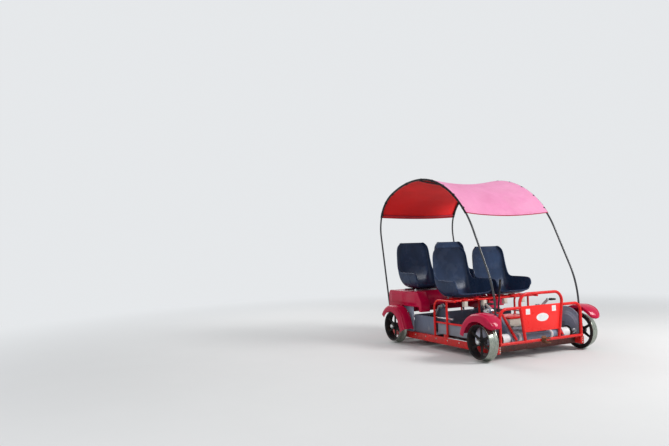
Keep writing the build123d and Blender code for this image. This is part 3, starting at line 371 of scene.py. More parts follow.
def rough_plastic(name, colour, roughness=0.55):
    """Black rubber or plastic, dusty in places."""
    material, tree, shader = shaded(name, colour, roughness, gloss=0.15)
    paint_shader(tree, shader, layered(tree, cloud(tree, 24.0, 0.45, 0.8), colour, (0.09, 0.085, 0.08)))
    relief(tree, shader, cloud(tree, 420.0, 0.2, 0.8, detail=2.0), 0.0003)
    return material


def rusty_iron(name, colour):
    """Unpainted coupler iron: brown rust over dark metal."""
    material, tree, shader = shaded(name, colour, 0.75)
    scale = cloud(tree, 28.0, 0.3, 0.7, detail=8.0)
    base = layered(tree, scale, (0.055, 0.035, 0.028), (0.27, 0.11, 0.045))
    base = layered(tree, cloud(tree, 90.0, 0.62, 0.70), base, (0.42, 0.20, 0.09))
    paint_shader(tree, shader, base, None, times(tree, cloud(tree, 15.0, 0.55, 0.8), 0.5))
    relief(tree, shader, cloud(tree, 150.0, 0.2, 0.8, detail=6.0), 0.0012)
    return material


def canopy_cloth(name, colour, below, top_colour=(0.90, 0.380, 0.600)):
    """Coated canvas with a plain weave on the piece's UV map, coloured by which way each face looks: the upper
    colour on faces that look up and the lower one below, as painted light and shade.
    """
    material, tree, shader = shaded(name, below, 0.62, gloss=0.08)
    shader.inputs["Sheen Weight"].default_value = 0.05
    shader.inputs["Sheen Roughness"].default_value = 0.45
    facing = add_node(tree, "ShaderNodeTexCoord").outputs["Normal"]
    up = add_node(tree, "ShaderNodeSeparateXYZ", {"Vector": facing}).outputs["Z"]
    # Faces that look up take the upper colour and the rest the lower: a painted difference of light between
    # the sides
    upper = between(tree, up, -0.05, 0.12)
    upper_tone = layered(tree, cloud(tree, 1.4, 0.3, 0.75), scaled(colour, 0.86), top_colour)
    lining = toned(tree, below, cloud(tree, 2.4, 0.35, 0.75), 0.84, 1.15)
    spots = times(tree, cloud(tree, 5.5, 0.70, 0.76, detail=2.0), 0.35)
    lining = layered(tree, spots, lining, (0.75, 0.10, 0.07))
    place = add_node(tree, "ShaderNodeUVMap", uv_map="cloth").outputs[0]
    thread = {"Vector": place, "Scale": 130.0, "Distortion": 1.2, "Detail": 1.0}
    threads = []
    for direction in ("X", "Y"):
        wave = add_node(tree, "ShaderNodeTexWave", thread, wave_type="BANDS", bands_direction=direction)
        threads.append(wave.outputs["Fac"])
    weave = times(tree, *threads)
    base = layered(tree, upper, lining, upper_tone)
    base = layered(tree, times(tree, weave, 0.22), base, scaled(colour, 0.55))
    dust = times(tree, cloud(tree, 3.2, 0.45, 0.85), upper, 0.18)
    paint_shader(tree, shader, layered(tree, dust, base, (0.72, 0.52, 0.50)))
    crumple = relief(tree, shader, cloud(tree, 7.0, 0.15, 0.85, detail=3.0), 0.004)
    relief(tree, shader, weave, 0.0005, crumple)
    return material


def vinyl(name, colour):
    """Plain sticker film, slightly yellowed in patches."""
    material, tree, shader = shaded(name, colour, 0.35)
    paint_shader(tree, shader, toned(tree, colour, cloud(tree, 20.0, 0.4, 0.8), 1.0, 0.82))
    relief(tree, shader, cloud(tree, 60.0, 0.2, 0.8), 0.0004)
    return material


def pale_rays(tree):
    """1 for the rays that see the pale backdrop: the camera's, and those off or through the pieces."""
    rays = add_node(tree, "ShaderNodeLightPath").outputs
    kinds = (rays["Is Camera Ray"], rays["Is Glossy Ray"], rays["Is Transmission Ray"])
    return times(tree, *kinds, operation="MAXIMUM")


def floor_paint(name, colour, backdrop, strength):
    """Pale floor that fades into the backdrop away from the car."""
    material, tree, shader = shaded(name, colour, 0.75)
    paint_shader(tree, shader, toned(tree, colour, cloud(tree, 1.3, 0.2, 0.8), 0.97, 1.0))
    distance = add_node(tree, "ShaderNodeVectorMath", {0: place_on(tree)}, operation="LENGTH")
    spread = {"Value": distance.outputs["Value"], "From Min": 2.8, "From Max": 8.5}
    fade = add_node(tree, "ShaderNodeMapRange", spread, interpolation_type="SMOOTHSTEP").outputs["Result"]
    glow = add_node(tree, "ShaderNodeEmission", {"Color": (*backdrop, 1.0), "Strength": strength})
    share = times(tree, fade, pale_rays(tree))
    both = add_node(tree, "ShaderNodeMixShader", {0: share, 1: shader.outputs[0], 2: glow.outputs[0]})
    tree.links.new(both.outputs[0], tree.nodes["Material Output"].inputs["Surface"])
    return material


FINISHES = {}


def finish(name):
    """A finish by name, made the first time it is asked for."""
    if name not in FINISHES:
        scene = bpy.context.scene
        enamel = scene.rail_tubes.enamel
        canopy = scene.rail_canopy
        # Maker, colour and settings of each finish
        table = {
            "red_enamel": (enamel_paint, enamel, {}),
            # inner sets how strong the painted shade between the sills is
            "sill_enamel": (enamel_paint, enamel, dict(chips=0.69, dust=0.34, inner=0.92)),
            "sign_enamel": (
                enamel_paint, (0.90, 0.026, 0.022), dict(chips=0.80, dust=0.05, roughness=0.34, uneven=0.05),
            ),
            "bow_enamel": (
                enamel_paint, scene.rail_tubes.bow, dict(chips=0.78, dust=0.2, roughness=0.27, shine=1.6),
            ),
            "white_enamel": (enamel_paint, (0.82, 0.83, 0.83), dict(dust=0.25)),
            "axle_enamel": (enamel_paint, (0.23, 0.30, 0.40), dict(chips=0.70, dust=0.4)),
            "cream_enamel": (enamel_paint, (0.68, 0.64, 0.55), dict(chips=0.70, dust=0.35)),
            "gel_coat": (gel_coat, scene.rail_body.gel, {}),
            # grey_sheet is a blue-grey darkened as painted shade, for the rear foot tub and the consoles;
            # pale_sheet is the same sheet lighter and bluer as painted daylight on the upper rear side panels;
            # tub_sheet is darkened as painted shade in the front foot tub
            "grey_sheet": (sheet_paint, (0.16, 0.19, 0.26), {}),
            "pale_sheet": (sheet_paint, (0.38, 0.45, 0.58), {}),
            "tub_sheet": (sheet_paint, (0.27, 0.29, 0.34), dict(roughness=0.5)),
            # dome_sheet: grey sheet made lighter and bluer as painted sky reflection and painted light on the
            # guards
            "dome_sheet": (
                plate_metal, (0.60, 0.65, 0.78),
                dict(roughness=0.24, stretch=(1.0, 3.0, 3.0), metallic=0.55, dirt=0.2),
            ),
            "wheel_iron": (wheel_iron, scene.rail_gear.iron, {}),
            "bright_steel": (plate_metal, (0.66, 0.67, 0.68), dict(roughness=0.22, dirt=0.3)),
            "zinc": (plate_metal, (0.62, 0.61, 0.56), dict(roughness=0.34, stretch=(3.0, 3.0, 3.0))),
            "chequer": (plate_metal, (0.70, 0.71, 0.72), dict(roughness=0.36, stretch=(1.0, 5.0, 1.0))),
            "seat_shell": (moulded_shell, scene.rail_seats.shell, {}),
            "rubber": (rough_plastic, (0.015, 0.015, 0.016), {}),
            "webbing": (rough_plastic, (0.012, 0.012, 0.014), dict(roughness=0.8)),
            "rust": (rusty_iron, (0.16, 0.075, 0.04), {}),
            # The canvas: a pale upper side as painted sunlight over real fading, and an underside red
            # brightened as painted light through the cloth
            "canvas": (canopy_cloth, canopy.sunlit, dict(below=canopy.shaded)),
            # The hem roll: dark reds on both sides, as painted shade along the cloth's edge
            "hem_canvas": (
                canopy_cloth, (0.30, 0.018, 0.050),
                dict(below=(0.50, 0.035, 0.045), top_colour=(0.34, 0.025, 0.065)),
            ),
            "thread": (rough_plastic, (0.62, 0.20, 0.24), dict(roughness=0.7)),
            "white_vinyl": (vinyl, (0.80, 0.80, 0.79), {}),
        }
        maker, colour, settings = table[name]
        FINISHES[name] = maker(name, colour, **settings)
    return FINISHES[name]


# Meshes
def mesh_from(name, points, faces):
    """Mesh from points and faces."""
    mesh = bpy.data.meshes.new(name)
    mesh.from_pydata([tuple(point) for point in points], [], faces)
    mesh.update()
    return mesh


def outward(mesh, merge=0.0):
    """Closed mesh with its faces turned outwards."""
    form = bmesh.new()
    form.from_mesh(mesh)
    if merge:
        bmesh.ops.remove_doubles(form, verts=form.verts, dist=merge)
    bmesh.ops.recalc_face_normals(form, faces=form.faces)
    form.to_mesh(mesh)
    form.free()
    return mesh


def piece(name, mesh, finish_name=None, body="car", crease=35.0, node=None):
    """Object at the origin that rides on a body, smooth but for its creases, and may stand for a node."""
    made = loose(name, mesh)
    if finish_name:
        mesh.materials.clear()
        mesh.materials.append(finish(finish_name))
    mesh.polygons.foreach_set("use_smooth", [True] * len(mesh.polygons))
    mesh.set_sharp_from_angle(angle=radians(crease))
    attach(made, body)
    if node:
        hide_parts(node)
    return made


def settled(made):
    """The object's modifiers, run once into a plain mesh; the object is removed."""
    bpy.context.view_layer.update()
    graph = bpy.context.evaluated_depsgraph_get()
    mesh = bpy.data.meshes.new_from_object(
        made.evaluated_get(graph), preserve_all_data_layers=True, depsgraph=graph
    )
    bpy.data.objects.remove(made)
    return mesh


def loose(name, mesh):
    """Object in the scene that rides on no body yet."""
    made = bpy.data.objects.new(name, mesh)
    bpy.context.scene.collection.objects.link(made)
    return made


def baked(form, name):
    """New mesh from an edited form, which is freed."""
    mesh = bpy.data.meshes.new(name)
    form.to_mesh(mesh)
    form.free()
    return mesh


def joined(name, meshes):
    """One mesh from several, which keeps their point attributes."""
    form = bmesh.new()
    for mesh in meshes:
        form.from_mesh(mesh)
    return baked(form, name)


def walled(name, mesh, thickness, offset=0.0, rounds=0):
    """Closed wall from an open sheet, subdivided as many rounds as asked."""
    source = loose(name + "_source", mesh)
    wall = source.modifiers.new("wall", "SOLIDIFY")
    wall.thickness = thickness
    wall.offset = offset
    if rounds:
        smooth = source.modifiers.new("smooth", "SUBSURF")
        smooth.levels = rounds
        smooth.render_levels = rounds
    return outward(settled(source))


def softened(node, finish_name, width, body="car", segments=2, crease=40.0):
    """Copy of a CAD node with its edges rounded, which stands for the node."""
    form = bmesh.new()
    form.from_mesh(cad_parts[node].data)
    bmesh.ops.remove_doubles(form, verts=form.verts, dist=2e-6)
    bmesh.ops.dissolve_limit(
        form, angle_limit=radians(1.0), verts=form.verts, edges=form.edges, use_dissolve_boundaries=False
    )
    source = loose(node + "_source", baked(form, node + "_rounded"))
    rounding = source.modifiers.new("rounding", "BEVEL")
    rounding.width = width
    rounding.segments = segments
    rounding.limit_method = "ANGLE"
    rounding.angle_limit = radians(38)
    rounding.use_clamp_overlap = True
    return piece(node + "_rounded", settled(source), finish_name, body, crease, node)


def block(low, high, width=0.002):
    """Bar or plate between two corners in the car's coordinates, its edges rounded."""
    form = bmesh.new()
    bmesh.ops.create_cube(form, size=1.0)
    low, high = car(*low), car(*high)
    for vertex in form.verts:
        vertex.co = Vector((low[i] + (high[i] - low[i]) * (vertex.co[i] + 0.5) for i in range(3)))
    bmesh.ops.bevel(form, geom=form.edges[:], offset=width, segments=2, affect="EDGES", profile=0.6)
    return baked(form, "block")


def pad(x, y, half_x, half_y, low, high, width=0.002):
    """Block about a middle, from its half sizes and the heights of its under and upper side."""
    return block((x - half_x, y - half_y, low), (x + half_x, y + half_y, high), width)


def circle(count, first=0.0):
    """Cosine and sine of equal steps round a circle, from a first angle on."""
    angles = [first + 2 * pi * step / count for step in range(count)]
    return [(cos(angle), sin(angle)) for angle in angles]


def turned(profile, centre_y, centre_z, steps, side=1, closed=True):
    """Ring or solid turned about the X direction from points of x, radius and, on a rim, wear."""
    points, faces = [], []
    for x, radius, *_ in profile:
        points.extend(car(side * x, centre_y + radius * a, centre_z + radius * b) for a, b in circle(steps))
    count = len(profile)
    for row in range(count if closed else count - 1):
        a, b = row * steps, (row + 1) % count * steps
        for step in range(steps):
            turn = (step + 1) % steps
            faces.append((a + step, a + turn, b + turn, b + step))
    mesh = mesh_from("turned", points, faces)
    if len(profile[0]) == 3:
        layer = mesh.attributes.new("worn", "FLOAT", "POINT")
        layer.data.foreach_set("value", [point[2] for point in profile for _ in range(steps)])
    return outward(mesh, 1e-6)


def rounded_route(points, radius, steps):
    """Route of a bent tube: straight runs with an arc of the radius at each corner."""
    line = [Vector(point) for point in points]
    route = [line[0]]
    for before, corner, after in zip(line, line[1:], line[2:]):
        arrive = (corner - before).normalized()
        leave = (after - corner).normalized()
        turn = arrive.angle(leave)
        cut = radius * tan(turn / 2)
        across = (leave - arrive * cos(turn)).normalized()
        start = corner - arrive * cut
        for step in range(steps + 1):
            angle = turn * step / steps
            route.append(start + arrive * (radius * sin(angle)) + across * (radius * (1 - cos(angle))))
    route.append(line[-1])
    return route


def flow(points, per):
    """Smooth line through points, with per steps between neighbours."""
    line = [Vector(point) for point in points]
    padded = [line[0] * 2 - line[1], *line, line[-1] * 2 - line[-2]]
    result = []
    for a, b, c, d in zip(padded, padded[1:], padded[2:], padded[3:]):
        for step in range(per):
            t = step / per
            square, cube = 2 * a - 5 * b + 4 * c - d, 3 * b - a - 3 * c + d
            result.append(0.5 * (2 * b + (c - a) * t + square * t**2 + cube * t**3))
    result.append(line[-1])
    return result


def grid(name, rows, ring=False, caps=False, uv=None):
    """Mesh over rows of points; a ring closes each row, and caps close the first and last row."""
    width = len(rows[0])
    points = [point for row in rows for point in row]
    faces = []
    for row in range(len(rows) - 1):
        for column in range(width if ring else width - 1):
            after = (column + 1) % width
            a = row * width
            faces.append((a + column, a + after, a + width + after, a + width + column))
    if caps:
        faces.append(tuple(range(width)))
        faces.append(tuple(reversed(range(len(points) - width, len(points)))))
    mesh = mesh_from(name, points, faces)
    if uv:
        layer = mesh.uv_layers.new(name="cloth")
        spots = [spot for row in uv for spot in row]
        for loop in mesh.loops:
            layer.data[loop.index].uv = spots[loop.vertex_index]
    return mesh


def lofted(name, rows):
    """Closed solid over rings of points."""
    return outward(grid(name, rows, ring=True, caps=True))


# Node trees for what repeats or follows a path
def new_tree(name, sockets):
    """New geometry tree with the sockets given, and the outputs of its input node."""
    tree = bpy.data.node_groups.new(name, "GeometryNodeTree")
    tree.interface.new_socket("Geometry", in_out="INPUT", socket_type="NodeSocketGeometry")
    for label, kind in sockets:
        tree.interface.new_socket(label, in_out="INPUT", socket_type=kind)
    tree.interface.new_socket("Geometry", in_out="OUTPUT", socket_type="NodeSocketGeometry")
    return tree, add_node(tree, "NodeGroupInput").outputs


def close_tree(tree, geometry, material):
    """The tree, with its geometry made real, painted and handed out."""
    real = add_node(tree, "GeometryNodeRealizeInstances", {"Geometry": geometry})
    done = add_node(
        tree, "GeometryNodeSetMaterial", {"Geometry": real.outputs[0], "Material": material}
    )
    add_node(tree, "NodeGroupOutput", {0: done.outputs[0]})
    return tree


def tube_tree():
    """A round tube along the edges of a route, as thick as each point's radius says."""
    tree, given = new_tree("bent_tube", (("Sides", "NodeSocketInt"), ("Finish", "NodeSocketMaterial")))
    line = add_node(tree, "GeometryNodeMeshToCurve", {"Mesh": given["Geometry"]})
    thick = add_node(tree, "GeometryNodeInputNamedAttribute", {"Name": "thick"}, data_type="FLOAT")
    ring = add_node(tree, "GeometryNodeCurvePrimitiveCircle", {"Resolution": given["Sides"], "Radius": 1.0})
    tube = add_node(
        tree, "GeometryNodeCurveToMesh",
        {
            "Curve": line.outputs[0], "Profile Curve": ring.outputs[0],
            "Scale": thick.outputs[0], "Fill Caps": True,
        },
    )
    return close_tree(tree, tube.outputs[0], given["Finish"])


def studs_tree():
    """A copy of a shape at each point, its Z along 'facing' and its X along 'along'."""
    tree, given = new_tree("studs", (("Shape", "NodeSocketObject"), ("Finish", "NodeSocketMaterial")))
    shape = add_node(tree, "GeometryNodeObjectInfo", {"Object": given["Shape"]})
    inputs = {}
    for name, settings in (("facing", {"axis": "Z"}), ("along", {"axis": "X", "pivot_axis": "Z"})):
        vector = add_node(tree, "GeometryNodeInputNamedAttribute", {"Name": name}, data_type="FLOAT_VECTOR")
        inputs["Vector"] = vector.outputs[0]
        turn = add_node(tree, "FunctionNodeAlignRotationToVector", inputs, **settings)
        inputs["Rotation"] = turn.outputs[0]
    copies = add_node(
        tree, "GeometryNodeInstanceOnPoints",
        {"Points": given["Geometry"], "Instance": shape.outputs["Geometry"], "Rotation": turn.outputs[0]},
    )
    return close_tree(tree, copies.outputs[0], given["Finish"])


def spokes_tree():
    """Copies of a spoke that points along X, set round a hub whose axis is X."""
    tree, given = new_tree(
        "spokes",
        (("Count", "NodeSocketInt"), ("Root", "NodeSocketFloat"), ("Hub", "NodeSocketVector"),
         ("Finish", "NodeSocketMaterial")),
    )
    ring = add_node(tree, "GeometryNodeMeshCircle", {"Vertices": given["Count"], "Radius": given["Root"]})
    place = add_node(tree, "GeometryNodeInputPosition")
    turn = add_node(tree, "FunctionNodeAlignRotationToVector", {"Vector": place.outputs[0]}, axis="X")
    spread = add_node(
        tree, "GeometryNodeInstanceOnPoints",
        {"Points": ring.outputs[0], "Instance": given["Geometry"], "Rotation": turn.outputs[0]},
    )
    real = add_node(tree, "GeometryNodeRealizeInstances", {"Geometry": spread.outputs[0]})
    stood = add_node(
        tree, "GeometryNodeTransform",
        {"Geometry": real.outputs[0], "Rotation": (0.0, pi / 2, 0.0), "Translation": given["Hub"]},
    )
    return close_tree(tree, stood.outputs[0], given["Finish"])


TREES = {}


def grown(name, mesh, tree_name, **values):
    """Runs a node tree over a mesh and returns the plain result."""
    makers = {"bent_tube": tube_tree, "studs": studs_tree, "spokes": spokes_tree}
    if tree_name not in TREES:
        TREES[tree_name] = makers[tree_name]()
    tree = TREES[tree_name]
    source = loose(name + "_source", mesh)
    modifier = source.modifiers.new(tree_name, "NODES")
    modifier.node_group = tree
    for item in tree.interface.items_tree:
        if item.in_out == "INPUT" and item.name in values:
            modifier[item.identifier] = values[item.name]
    return settled(source)


def tubes(name, routes, finish_name, sides=None):
    """Mesh of round tubes along routes of (points, radius), in the car's coordinates."""
    points, edges, thick = [], [], []
    for route, radius in routes:
        start = len(points)
        points.extend(car(*point) for point in route)
        thick.extend([radius] * len(route))
        edges.extend((start + step, start + step + 1) for step in range(len(route) - 1))
    mesh = bpy.data.meshes.new(name)
    mesh.from_pydata([tuple(point) for point in points], edges, [])
    layer = mesh.attributes.new("thick", "FLOAT", "POINT")
    layer.data.foreach_set("value", thick)
    sides = sides or bpy.context.scene.rail_tubes.sides
    return outward(grown(name, mesh, "bent_tube", Sides=sides, Finish=finish(finish_name)))


def studs(name, spots, shape, finish_name):
    """Mesh of a small shape at each spot of (point, facing, along), in the car's coordinates."""
    mesh = bpy.data.meshes.new(name)
    mesh.from_pydata([tuple(car(*spot[0])) for spot in spots], [], [])
    for label, place in (("facing", 1), ("along", 2)):
        layer = mesh.attributes.new(label, "FLOAT_VECTOR", "POINT")
        layer.data.foreach_set("vector", [value for spot in spots for value in spot[place]])
    template = loose(name + "_shape", shape)
    result = grown(name, mesh, "studs", Shape=template, Finish=finish(finish_name))
    bpy.data.objects.remove(template)
    return result


def studded(name, spots, shape, finish_name="zinc", body="car"):
    """Piece made of a small shape at each spot."""
    return piece(name, studs(name, spots, shape, finish_name), None, body)


def ring_spots(x, y, z, reach, count, first, facing):
    """Spots on a circle about the X direction, facing one way along it."""
    middles = [(x, y + reach * a, z + reach * b) for a, b in circle(count, radians(first))]
    return [(middle, (facing, 0, 0), UP) for middle in middles]


def bolt_shape(radius, height):
    """Hexagon bolt head on a washer, standing on the XY plane."""
    rows = []
    for level, reach in ((0.0, 1.45), (0.18, 1.45), (0.20, 1.0), (0.82, 1.0), (1.0, 0.84)):
        row = []
        for k, (a, b) in enumerate(circle(12)):
            # Above the washer every second point lies on a flat of the hexagon
            out = radius * reach * (1.0 if level < 0.19 or k % 2 == 0 else 0.866)
            row.append(Vector((out * a, out * b, height * level)))
        rows.append(row)
    return lofted("bolt", rows)


def rivet_shape(radius, height):
    """Low round rivet head standing on the XY plane."""
    rows = []
    for share in (0.0, 0.5, 0.85):
        out, rise = radius * cos(share * pi / 2), height * sin(share * pi / 2)
        rows.append([Vector((out * a, out * b, rise)) for a, b in circle(8)])
    return lofted("rivet", rows)


def stitch_shape(length, radius):
    """One short stitch along X, half sunk in the XY plane."""
    rows = []
    for x, reach in ((-0.5, 0.35), (-0.2, 1.0), (0.2, 1.0), (0.5, 0.35)):
        out = radius * reach
        rows.append([Vector((length * x, out * a, out * b)) for a, b in circle(4, pi / 4)])
    return lofted("stitch", rows)


def lozenge_shape(length, width, height):
    """Raised bar of chequer plate along X."""
    points = []
    for reach_x, reach_y, z in ((length * 0.5, width * 0.5, 0), (length * 0.3, width * 0.25, height)):
        points += [(-reach_x, 0, z), (0, -reach_y, z), (reach_x, 0, z), (0, reach_y, z)]
    faces = [(0, 1, 5, 4), (1, 2, 6, 5), (2, 3, 7, 6), (3, 0, 4, 7), (4, 5, 6, 7), (3, 2, 1, 0)]
    return outward(mesh_from("lozenge", points, faces))


# Canopy
CLOTH_WALL = 0.0012
CLOTH_HALF = 0.620
FRONT_HEM, REAR_HEM, CROSS_HEM = 0.0056, 0.0062, 0.0112
CROSS_TUBE = 0.009
CROSS_DROP = 0.0015


def canopy_stations():
    """Stations along the canopy: centre (y, z), radius, angle and distance from the front edge."""
    stations, travelled = [], 0.0
    for number, (centre, radius, first, last, steps) in enumerate(CANOPY_ARCS):
        for step in range(steps + 1):
            if step == 0 and number:
                continue
            angle = radians(first + (last - first) * step / steps)
            if stations:
                travelled += radius * radians(abs(last - first)) / steps
            stations.append((centre, radius, angle, travelled))
    return stations


def on_arc(centre, angle, x, reach):
    """Point at an angle and a reach from an arc's centre in side view."""
    return (x, centre[0] + reach * cos(angle), centre[1] + reach * sin(angle))


STATIONS = canopy_stations()
CANOPY_LENGTH = STATIONS[-1][3]


def hump(place, middle, width):
    """Smooth hump of height 1 about a middle."""
    return FALL ** (-(((place - middle) / width) ** 2))


def shares(count):
    """Shares of the half width from -1 to 1 in equal steps."""
    return [2 * step / count - 1 for step in range(count + 1)]


def cloth_lift(share, distance):
    """Height of the cloth over the bows' line at a share of the half width."""
    sizes = bpy.context.scene.rail_canopy
    x = share * BOW_X
    lift = FABRIC_LIFT - sizes.sag * (1 - share**2)
    pull = max(0.0, 1 - (1 - abs(share)) / 0.42) ** 1.5
    wander = 0.9 * noise.noise(Vector((x * 1.3, distance * 1.1, 3.1)))
    lift += sizes.ripple * pull * (1 - abs(share) ** 8) * sin(2 * pi * distance / 0.135 + 2.4 * wander)
    calm = min(1.0, 6 * (1 - abs(share)))
    lift += 0.0034 * calm * noise.noise(Vector((x * 2.2, distance * 1.6, 8.0)))
    # Crescent fold a hand's width behind the front edge
    across = (x + 0.05) / 0.30
    if abs(across) < 1:
        fold = 0.055 + 0.15 * (1 - across**2)
        lift += 0.0052 * (1 - across**4) * hump(distance, fold, 0.015)
    if min(distance, CANOPY_LENGTH - distance) < sizes.hem:
        lift += 0.0008
    return lift


def on_cloth(station, share, over=0.0, half=BOW_X):
    """Point on or over the cloth at a station and a share of the half width."""
    centre, radius, angle, distance = station
    return on_arc(centre, angle, share * half, radius + (cloth_lift(share, distance) + over))


def cross_line(number, turn, half, span=1.0, bow=1.0):
    """Line from bow to bow under the cloth, at an angle of one of the canopy's arcs."""
    centre, radius = CANOPY_ARCS[number][:2]
    sag = bpy.context.scene.rail_canopy.sag
    line = []
    for step in shares(32):
        share = span * step
        reach = radius - CROSS_DROP - sag * (1 - (share * bow) ** 2)
        line.append(on_arc(centre, radians(turn), share * half, reach))
    return line


class RAILCAR_OT_canopy(Operator):
    """Cloth over the bows, its hems, stitches, edging and straps"""

    bl_idname = "railcar.canopy"
    bl_label = "Canopy"

    def execute(self, context):
        sizes = context.scene.rail_canopy
        rows, spots = [], []
        for station in STATIONS:
            centre, radius, angle, distance = station
            row = [on_cloth(station, share) for share in shares(56)]
            spot = [(share * CLOTH_HALF, distance) for share in shares(56)]
            for turn in (78, 60):
                x = BOW_X + FABRIC_LIFT * cos(radians(turn))
                reach = radius + FABRIC_LIFT * sin(radians(turn))
                row = [on_arc(centre, angle, -x, reach), *row, on_arc(centre, angle, x, reach)]
                across = CLOTH_HALF + 0.004 * (90 - turn) / 15
                spot = [(-across, distance), *spot, (across, distance)]
            rows.append([car(*point) for point in row])
            spots.append(spot)
        sheet = walled("sheet", grid("sheet", rows, uv=spots), CLOTH_WALL)
        cloth = piece("canopy_cloth", sheet, "canvas", crease=60.0, node="canopy_fabric")

        rolls = []
        for end, thick in ((0, FRONT_HEM), (-1, REAR_HEM)):
            line = [on_cloth(STATIONS[end], share, -0.001, BOW_X + 0.004) for share in shares(40)]
            rolls.append((line, thick))
        for number, turn in (CROSS_TUBES[0], CROSS_TUBES[-1]):
            rolls.append((cross_line(number, turn, BOW_X, 0.955, 1.018), CROSS_HEM))
        extras = [piece("canopy_hem_rolls", tubes("hem_rolls", rolls, "hem_canvas", sides=14))]

        seams = []
        half_step = 0.5 * CANOPY_LENGTH / len(STATIONS)
        for station in STATIONS:
            angle, distance = station[2:]
            near = min(distance, CANOPY_LENGTH - distance)
            if not any(abs(near - line) < half_step for line in (0.008, sizes.hem)):
                continue
            outer = Vector((0, cos(angle), sin(angle)))
            for share in shares(int(2 * BOW_X / sizes.stitch))[1:-1]:
                slope = 2 * sizes.sag * share / BOW_X
                along = (1.0, slope * outer.y, slope * outer.z)
                seams.append((on_cloth(station, share, 0.0010), outer - Vector((slope, 0, 0)), along))
        extras.append(studded("canopy_stitches", seams, stitch_shape(0.0075, 0.0007), "thread"))

        edging, straps = [], []
        for side in WAYS:
            strip = []
            for centre, radius, angle, _ in STATIONS:
                ring = []
                for turn in (74, 52, 30, 8, -14, -36):
                    reach = FABRIC_LIFT + 0.0012
                    x = BOW_X + reach * cos(radians(turn))
                    ring.append(car(*on_arc(centre, angle, side * x, radius + reach * sin(radians(turn)))))
                strip.append(ring)
            edging.append(walled("edging", grid("edging", strip), CLOTH_WALL))
            for centre, radius, angle, _ in STATIONS[3::9]:
                along = Vector((0, -sin(angle), cos(angle)))
                rings = []
                for shift, lift in ((-0.011, 0.0016), (-0.010, 0.0034), (0.010, 0.0034), (0.011, 0.0016)):
                    ring = []
                    for a, b in circle(20):
                        x = side * BOW_X + (FABRIC_LIFT + lift) * a
                        spot = on_arc(centre, angle, x, radius + (FABRIC_LIFT + lift) * b)
                        ring.append(car(*spot) + along * shift)
                    rings.append(ring)
                straps.append(lofted("strap", rings))
        extras.append(piece("canopy_edging", joined("edging", edging), "webbing"))
        extras.append(piece("canopy_straps", joined("straps", straps), "webbing"))
        return {"FINISHED"}


BOW_FOOT_Y, BOW_FOOT_Z = -0.088, SILL_TOP + 0.003
BOW_FIRST, BOW_LAST = 154.5, -10.0
BOW_KNEE = 1.1
FOOT_LOW, FOOT_TOP = 0.1353, 0.1413


def bow_route():
    """Side view of a bow: leg, arcs over the car and the rear leg."""
    centre, radius = CANOPY_ARCS[0][:2]
    _, start_y, start_z = on_arc(centre, radians(BOW_FIRST), 0, radius)
    knee_z = start_z - (start_y - BOW_FOOT_Y) * tan(radians(BOW_FIRST - 90))
    corners = ((BOW_FOOT_Y, BOW_FOOT_Z, 0), (BOW_FOOT_Y, knee_z, 0), (start_y, start_z, 0))
    route = [(point[0], point[1]) for point in rounded_route(corners, BOW_KNEE, 14)[:-1]]
    for number, (centre, radius, first, last, steps) in enumerate(CANOPY_ARCS):
        first = BOW_FIRST if number == 0 else first
        last = BOW_LAST if number == 2 else last
        for step in range(1 if number else 0, steps + 1):
            angle = radians(first + (last - first) * step / steps)
            route.append(on_arc(centre, angle, 0, radius)[1:])
    rear_foot = route[-1][0] - (route[-1][1] - BOW_FOOT_Z) * tan(radians(-BOW_LAST))
    route.append((rear_foot, BOW_FOOT_Z))
    return route, rear_foot


class RAILCAR_OT_bows(Operator):
    """Bent bows on their foot plates, and the tubes across them"""

    bl_idname = "railcar.bows"
    bl_label = "Bows"

    def execute(self, context):
        route, rear_foot = bow_route()
        spots = []
        for side_name, side in SIDES:
            parts = [tubes("bow", [([(side * BOW_X, y, z) for y, z in route], BOW_RADIUS)], "bow_enamel")]
            x = side * (BOW_X - 0.003)
            for foot_y, socket_y in ((-0.080, BOW_FOOT_Y), (rear_foot, rear_foot)):
                parts.append(pad(x, foot_y, 0.0165, 0.026, FOOT_LOW, FOOT_TOP))
                socket = [(side * BOW_X, socket_y, z) for z in (0.141, 0.175)]
                parts.append(tubes("socket", [(socket, 0.0145)], "bow_enamel"))
                for shift in (-0.019, 0.019):
                    spots.append(((x - side * 0.008, foot_y + shift, FOOT_TOP), UP, ACROSS))
            bow = joined("bow", parts)
            piece(f"bow_{side_name}_bent", bow, "bow_enamel", node=f"canopy_bow_{side_name}")
        studded("bow_foot_bolts", spots, bolt_shape(0.0042, 0.005))
        half = BOW_X - BOW_RADIUS - 0.0003
        cross = [(cross_line(number, turn, half), CROSS_TUBE) for number, turn in CROSS_TUBES]
        piece("cross_tubes_bent", tubes("cross", cross, "bow_enamel"), node="canopy_cross_tubes")
        return {"FINISHED"}


# Seats
# Stations from the front lip over the pan and up the back: middle of the shell (y, z), its rim (y, z)
# and the half width at the rim, from the seat's nose and base
SEAT_STATIONS = (
    ((0.004, 0.040), (0.004, 0.120), 0.252),
    ((0.002, 0.058), (0.001, 0.150), 0.258),
    ((0.022, 0.040), (0.014, 0.186), 0.261),
    ((0.080, 0.016), (0.060, 0.204), 0.2615),
    ((0.190, 0.007), (0.160, 0.208), 0.2615),
    ((0.320, 0.008), (0.270, 0.209), 0.2615),
    ((0.398, 0.048), (0.345, 0.211), 0.2615),
    ((0.442, 0.122), (0.392, 0.232), 0.2615),
    ((0.468, 0.224), (0.421, 0.290), 0.2590),
    ((0.484, 0.350), (0.441, 0.392), 0.2490),
    ((0.493, 0.470), (0.452, 0.486), 0.2400),
    ((0.497, 0.545), (0.458, 0.549), 0.2220),
    ((0.498, 0.585), (0.464, 0.585), 0.1860),
    ((0.500, 0.597), (0.474, 0.597), 0.1700),
    ((0.503, 0.592), (0.484, 0.592), 0.1690),
)
# The rolled rim: how far out from the shell's half width and up along its wall
SEAT_RIM = ((0.004, 0.0028), (0.0095, 0.0030), (0.0145, 0.0))


